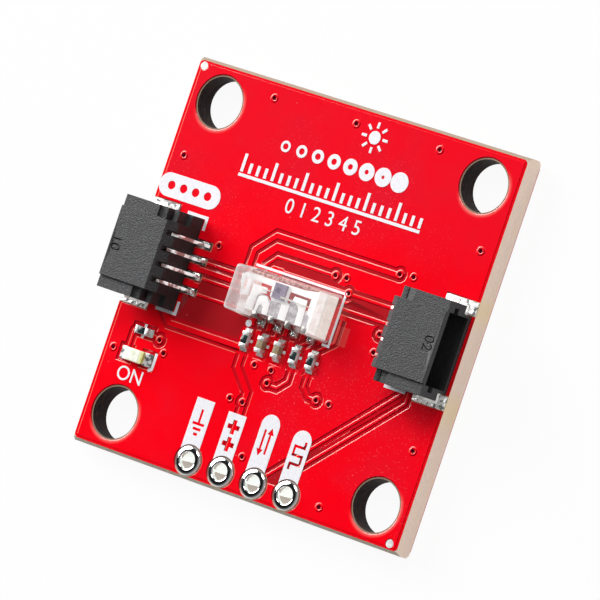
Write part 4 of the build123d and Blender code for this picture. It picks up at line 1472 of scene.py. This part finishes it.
@dataclass
class PowerLight:
    """The small light with its milky lens."""

    bench: Bench
    place: Point = (-9.95, -6.42)
    half_length: float = 0.8
    joint_width: float = 0.84
    joint_run: float = 0.42
    joint_rise: float = 0.27
    strip_reach: Point = (0.62, 0.77)
    strip_half: float = 0.37
    strip_band: Point = (BOARD_TOP + 0.1, BOARD_TOP + 0.5)
    strip_edge: float = 0.02
    # Painted glints and reflections in a white-and-black mottle, with a painted glow
    terminal_finish: Finish = MetalFinish("light_terminal", (0.97, 0.98, 0.97),
                                          (0.16, 0.18, 0.17), grain=3.4, rise=0.07,
                                          metallic=0.45, band=(0.44, 0.58), painted_glow=0.12)

    def build(self) -> None:
        """Makes and dresses the light's pieces."""
        bench = self.bench
        for part, slot, edge, own in (("base", Slot.LIGHT_BASE, 0.01, None),
                                      ("lens", Slot.LENS, 0.04, None),
                                      ("terminals", Slot.CAPS, 0.02, self.terminal_finish)):
            bench.soft_node(f"light_{part}", f"light_{part}_soft", slot, edge, own)
        bench.palette.dress_node("light_die", Slot.DIE)
        x, y = self.place
        (start, stop), (low, high) = self.strip_reach, self.strip_band
        strip = bench.block("light_strip", (x + start, y - self.strip_half, low),
                            (x + stop, y + self.strip_half, high))
        bench.bevel(strip, self.strip_edge)
        bench.hand_over(strip, Slot.LIGHT_BASE)
        beads = [bench.fillet((x + way * self.half_length, y), (way, 0), self.joint_width,
                              self.joint_run, self.joint_rise) for way in SIDES]
        bench.hand_over(bench.joined("light_joints", beads), Slot.SOLDER, "light_solder",
                        own=self.terminal_finish)


@dataclass
class Print:
    """Printed white marks of the face."""

    bench: Bench
    thickness: float = 0.02
    line: float = 0.2
    fine_line: float = 0.16
    symbol_line: float = 0.17
    corner: float = 0.05
    label_tops: tuple[float, ...] = (-7.52, -7.72, -7.05, -7.33)
    label_half: float = 0.685
    label_shift: float = -0.13
    label_steps: int = 12
    sign_drop: float = 0.05
    plus_unit: float = 0.15
    plus_rise: float = 0.55
    arrow_shift: float = 0.22
    ring_clear: float = 1.01
    badge: tuple[float, float, float, float] = (-10.16, 4.36, 4.77, 1.52)
    dot_radius: float = 0.28
    dot_pitch: float = 0.95
    sensor_path: tuple[Point, ...] = ((-3.65, 1.335), (3.27, 1.335), (3.27, -2.035),
                                      (2.77, -2.035))
    socket_reach: Point = (-9.77, -8.235)
    socket_half: float = 3.12
    socket_hook: float = 0.8
    plain_paths: tuple[tuple[Point, ...], ...] = (((9.57, -3.17), (7.975, -3.17)),
                                                  ((-8.56, -5.87), (-8.56, -6.87),
                                                   (-8.81, -7.04)))
    pin_mark: Triple = (-2.805, -2.235, 0.22)
    tick_reach: float = 0.36
    sun: Triple = (1.6, 10.95, 0.42)
    rays: int = 8
    ray_reach: Point = (0.6, 0.98)
    circles: int = 8
    circle_start: Point = (-4.4, 8.8)
    circle_pitch: float = 1.25
    circle_radius: float = 0.36
    circle_growth: float = 0.04
    scale_line: tuple[Point, ...] = ((-7.1, 6.3), (6.85, 6.3))
    scale_ticks: int = 24
    scale_start: Point = (-6.95, 6.5)
    scale_pitch: float = 0.594
    scale_half: float = 0.11
    scale_tops: Point = (7.65, 7.15)
    words: tuple[Lettering, ...] = (Lettering("ON", -9.98, -7.72, 0.92, weight=0.06),
                                    Lettering("0 1 2 3 4 5", -0.12, 5.33, 0.95))

    def build(self) -> None:
        """Makes and dresses the marks as one piece."""
        outlines = (self.labels() + self.lines() + self.ticks() + self.badge_outlines()
                    + self.pictogram())
        piece = self.bench.plate("white_print", outlines, BOARD_TOP, BOARD_TOP + self.thickness,
                                 words=self.words)
        self.bench.hand_over(piece, Slot.INK, "printed_marks")

    def symbols(self, index: int, x: float, y: float) -> list[Outline]:
        """Sign of one header hole: ground, plus, two-way arrows or a square wave.

        Args:
            index: Which hole, from the left.
            x: Middle of the sign along X.
            y: Middle of the sign along Y.

        Returns:
            Its outlines, to be cut out of the label.
        """
        if index == 0:
            bars = [((-reach, rise), (reach, rise))
                    for reach, rise in ((0.15, -0.75), (0.3, -0.42), (0.45, -0.09))]
            bars.append(((0.0, 0.0), (0.0, 0.85)))
            return [stroke([(x + a, y + b) for a, b in bar], self.symbol_line) for bar in bars]
        if index == 1:
            plus = [(-1, 3), (1, 3), (1, 1), (3, 1), (3, -1), (1, -1), (1, -3), (-1, -3), (-1, -1),
                    (-3, -1), (-3, 1), (-1, 1)]
            return [[(x + a * self.plus_unit, y + side * self.plus_rise + b * self.plus_unit)
                     for a, b in plus] for side in (1, -1)]
        if index == 2:
            arrow = [(0, 0.95), (0.24, 0.5), (0.08, 0.5), (0.08, -0.75), (-0.08, -0.75),
                     (-0.08, 0.5), (-0.24, 0.5)]
            return [[(x + side * (self.arrow_shift + a), y + side * b) for a, b in arrow]
                    for side in SIDES]
        wave = [(-0.35, -0.95), (-0.35, -0.55), (0.35, -0.55), (0.35, 0.0), (-0.35, 0.0),
                (-0.35, 0.55), (0.35, 0.55), (0.35, 0.95)]
        return [stroke([(x + a, y + b) for a, b in wave], self.symbol_line)]

    def labels(self) -> list[Outline]:
        """Labels above the header holes, each with its sign cut out of it.

        Returns:
            Outlines of the labels and of their signs.
        """
        half = self.label_half
        shares = [step / self.label_steps for step in range(self.label_steps + 1)]
        outlines = []
        for index, ((x, y), top) in enumerate(zip(HEADER_SPOTS, self.label_tops)):
            middle = x + self.label_shift
            start, stop = (math.asin((middle + side * half - x) / self.ring_clear)
                           for side in (1, -1))
            turns = [start + (stop - start) * share for share in shares]
            arc = [(x + self.ring_clear * math.sin(turn), y + self.ring_clear * math.cos(turn))
                   for turn in turns]
            if index < 2:
                cap = [(middle - half, top), (middle + half, top)]
            else:
                cap = [(middle - half * math.cos(math.pi * share),
                        top - half + half * math.sin(math.pi * share)) for share in shares]
            outlines.append(arc + cap)
            outlines += self.symbols(index, middle, (top + y + self.ring_clear) / 2
                                     - self.sign_drop)
        return outlines

    def lines(self) -> list[Outline]:
        """Lines round the sensor, behind the sockets and at the light, and the pin mark.

        Returns:
            Outlines of the lines and of the mark.
        """
        start, stop = self.socket_reach
        paths = []
        for side in SIDES:
            y = SOCKET_MIDDLE + side * self.socket_half
            paths.append(((start, y), (stop, y), (stop, y - side * self.socket_hook)))
        return ([stroke(self.sensor_path, self.fine_line)]
                + [stroke(path, self.line) for path in (*paths, *self.plain_paths)]
                + [disc(*self.pin_mark)])

    def ticks(self) -> list[Outline]:
        """Ticks beside the chips.

        Returns:
            Outlines of the ticks.
        """
        x, y = LIGHT_RESISTOR
        marks = [(column + side * self.tick_reach, CHIP_ROW) for column in CHIP_COLUMNS
                 for side in SIDES]
        marks += [(x, y + side * self.tick_reach) for side in SIDES]
        return [rounded(*mark, self.line, self.line, self.corner, steps=2) for mark in marks]

    def badge_outlines(self) -> list[Outline]:
        """Wide label by the left socket, with a dot cut out of it for each contact."""
        x, y, wide, tall = self.badge
        return [rounded(x, y, wide, tall, tall / 2 - HAIR, steps=10)] + [
            disc(x + step * self.dot_pitch, y, self.dot_radius) for step in FOUR_STEPS]

    def pictogram(self) -> list[Outline]:
        """Plain scale of light from dark to bright, with a sun over it.

        Returns:
            Outlines of the sun, the circles and the scale.
        """
        x, y, _ = self.sun
        outlines = [disc(*self.sun)]
        for step in range(self.rays):
            angle = math.tau * step / self.rays
            ray = [(x + math.cos(angle) * reach, y + math.sin(angle) * reach)
                   for reach in self.ray_reach]
            outlines.append(stroke(ray, self.symbol_line))
        start, row = self.circle_start
        for step in range(self.circles):
            x = start + step * self.circle_pitch
            radius = self.circle_radius + self.circle_growth * step
            outlines.append(disc(x, row, radius))
            if step < self.circles - 1:
                hollow = (radius - self.fine_line) * (1 - step / self.circles)
                outlines.append(disc(x, row, hollow))
        outlines.append(stroke(self.scale_line, self.line))
        (start, foot), (tall, low), half = self.scale_start, self.scale_tops, self.scale_half
        for step in range(self.scale_ticks):
            x, top = start + step * self.scale_pitch, low if step % 4 else tall
            outlines.append([(x - half, foot), (x + half, foot), (x + half, top), (x - half, top)])
        return outlines


# Studio

@dataclass
class Studio:
    """Floor, lamps, world and camera."""

    camera_place: Triple = (202.29, -1.27, 307.16)
    camera_right: Triple = (0.79074, 0.3206, -0.52148)
    camera_down: Triple = (0.26545, -0.94721, -0.17983)
    camera_forward: Triple = (-0.5516, 0.00378, -0.8341)
    focal_pixels: float = 5992.13
    picture_pixels: float = 600.0
    sensor_width: float = 36.0
    floor_size: float = 4.0
    floor_level: float = -0.02
    floor_glow: float = 0.94
    dark_way: Triple = (-0.55, 0.0, 0.835)
    dark_reach: Point = (0.45, 0.85)
    dark_level: float = 0.01
    pale_level: float = 0.36
    lamps: tuple[tuple[str, Triple, float, float], ...] = (
        ("broad_lamp", (-560, 264, 304), 512, 7.7), ("top_lamp", (20, 300, 400), 180, 0.8))

    def build(self) -> None:
        """Sets up everything round the object."""
        self.floor()
        self.world()
        for lamp in self.lamps:
            self.lamp(*lamp)
        self.camera()

    def floor(self) -> None:
        """Plain pale floor that shows white and keeps the object's shadow."""
        bpy.ops.object.select_all(action="DESELECT")
        bpy.ops.mesh.primitive_plane_add(size=self.floor_size,
                                         location=(0, 0, self.floor_level * MM))
        floor = Bench.latest("floor")
        shader = Shader("floor")
        path = shader.node("ShaderNodeLightPath", {}, {})
        camera, glossy, through = (Signal(shader, path.outputs[f"Is {kind} Ray"])
                                   for kind in ("Camera", "Glossy", "Transmission"))
        grain = shader.noise(0.02)
        tone = shader.blend(grain.ramp(0.2, 0.8), (0.84, 0.84, 0.84), (0.82, 0.82, 0.82))
        matte = shader.node("ShaderNodeBsdfDiffuse", {}, {"Color": tone})
        glow = shader.node("ShaderNodeEmission", {}, {"Color": WHITE, "Strength": 1.0})
        floor.data.materials.append(shader.finished(shader.mixed(
            (camera + glossy + through) * self.floor_glow, matte.outputs[0], glow.outputs[0])))

    def world(self) -> None:
        """Pale light from all round, but for the dark part that the flat board mirrors."""
        shader = Shader("surroundings", world=True)
        way = shader.node("ShaderNodeTexCoord", {}, {}).outputs["Generated"]
        near = shader.node("ShaderNodeVectorMath", {"operation": "DOT_PRODUCT"},
                           {0: way, 1: self.dark_way})
        dark = Signal(shader, near.outputs["Value"]).ramp(*self.dark_reach)
        level = dark * (self.dark_level - self.pale_level) + self.pale_level
        light = shader.node("ShaderNodeBackground", {}, {"Color": WHITE, "Strength": level})
        bpy.context.scene.world = shader.finished(light.outputs[0], "World")

    @staticmethod
    def lamp(name: str, place: Triple, size: float, power: float) -> None:
        """Square soft lamp that faces the object.

        Args:
            name: Name of the lamp.
            place: Its middle in millimetres.
            size: Its side in millimetres.
            power: Its power in watts.
        """
        lamp = bpy.data.lights.new(name, "AREA")
        lamp.size = size * MM
        lamp.energy = power
        holder = bpy.data.objects.new(name, lamp)
        holder.location = Vector(place) * MM
        holder.rotation_euler = (-Vector(place)).to_track_quat("-Z", "Y").to_euler()
        bpy.context.scene.collection.objects.link(holder)

    def camera(self) -> None:
        """Camera at the place that the board's own dimensions give in the photograph."""
        camera = bpy.data.cameras.new("camera")
        camera.sensor_width = self.sensor_width
        camera.lens = self.focal_pixels * self.sensor_width / self.picture_pixels
        holder = bpy.data.objects.new("camera", camera)
        axes = Matrix((self.camera_right, self.camera_down, self.camera_forward))
        axes = Matrix((axes[0], -axes[1], -axes[2])).transposed()
        holder.matrix_world = Matrix.Translation(Vector(self.camera_place) * MM) @ axes.to_4x4()
        bpy.context.scene.collection.objects.link(holder)
        bpy.context.scene.camera = holder


def main() -> None:
    """Builds the module's sub-assemblies in order, then the studio."""
    logging.basicConfig(level=logging.INFO, format="%(message)s")
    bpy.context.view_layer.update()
    bench = Bench(Palette())
    parts = [Board(bench),
             CableSocket(bench, End.LEFT, "01", (-12.03, -0.15), (7.3, 8.52), (10.42, 12.52)),
             CableSocket(bench, End.RIGHT, "02", (11.8, 0.08), (7.04, 8.26), (10.16, 12.52)),
             LightSensor(bench), SmallChips(bench), PowerLight(bench), Print(bench)]
    for part in parts:
        LOG.info("building %s", type(part).__name__)
        part.build()
    Studio().build()
    bpy.context.scene.view_settings.view_transform = "Standard"


if __name__ == "__main__":
    main()
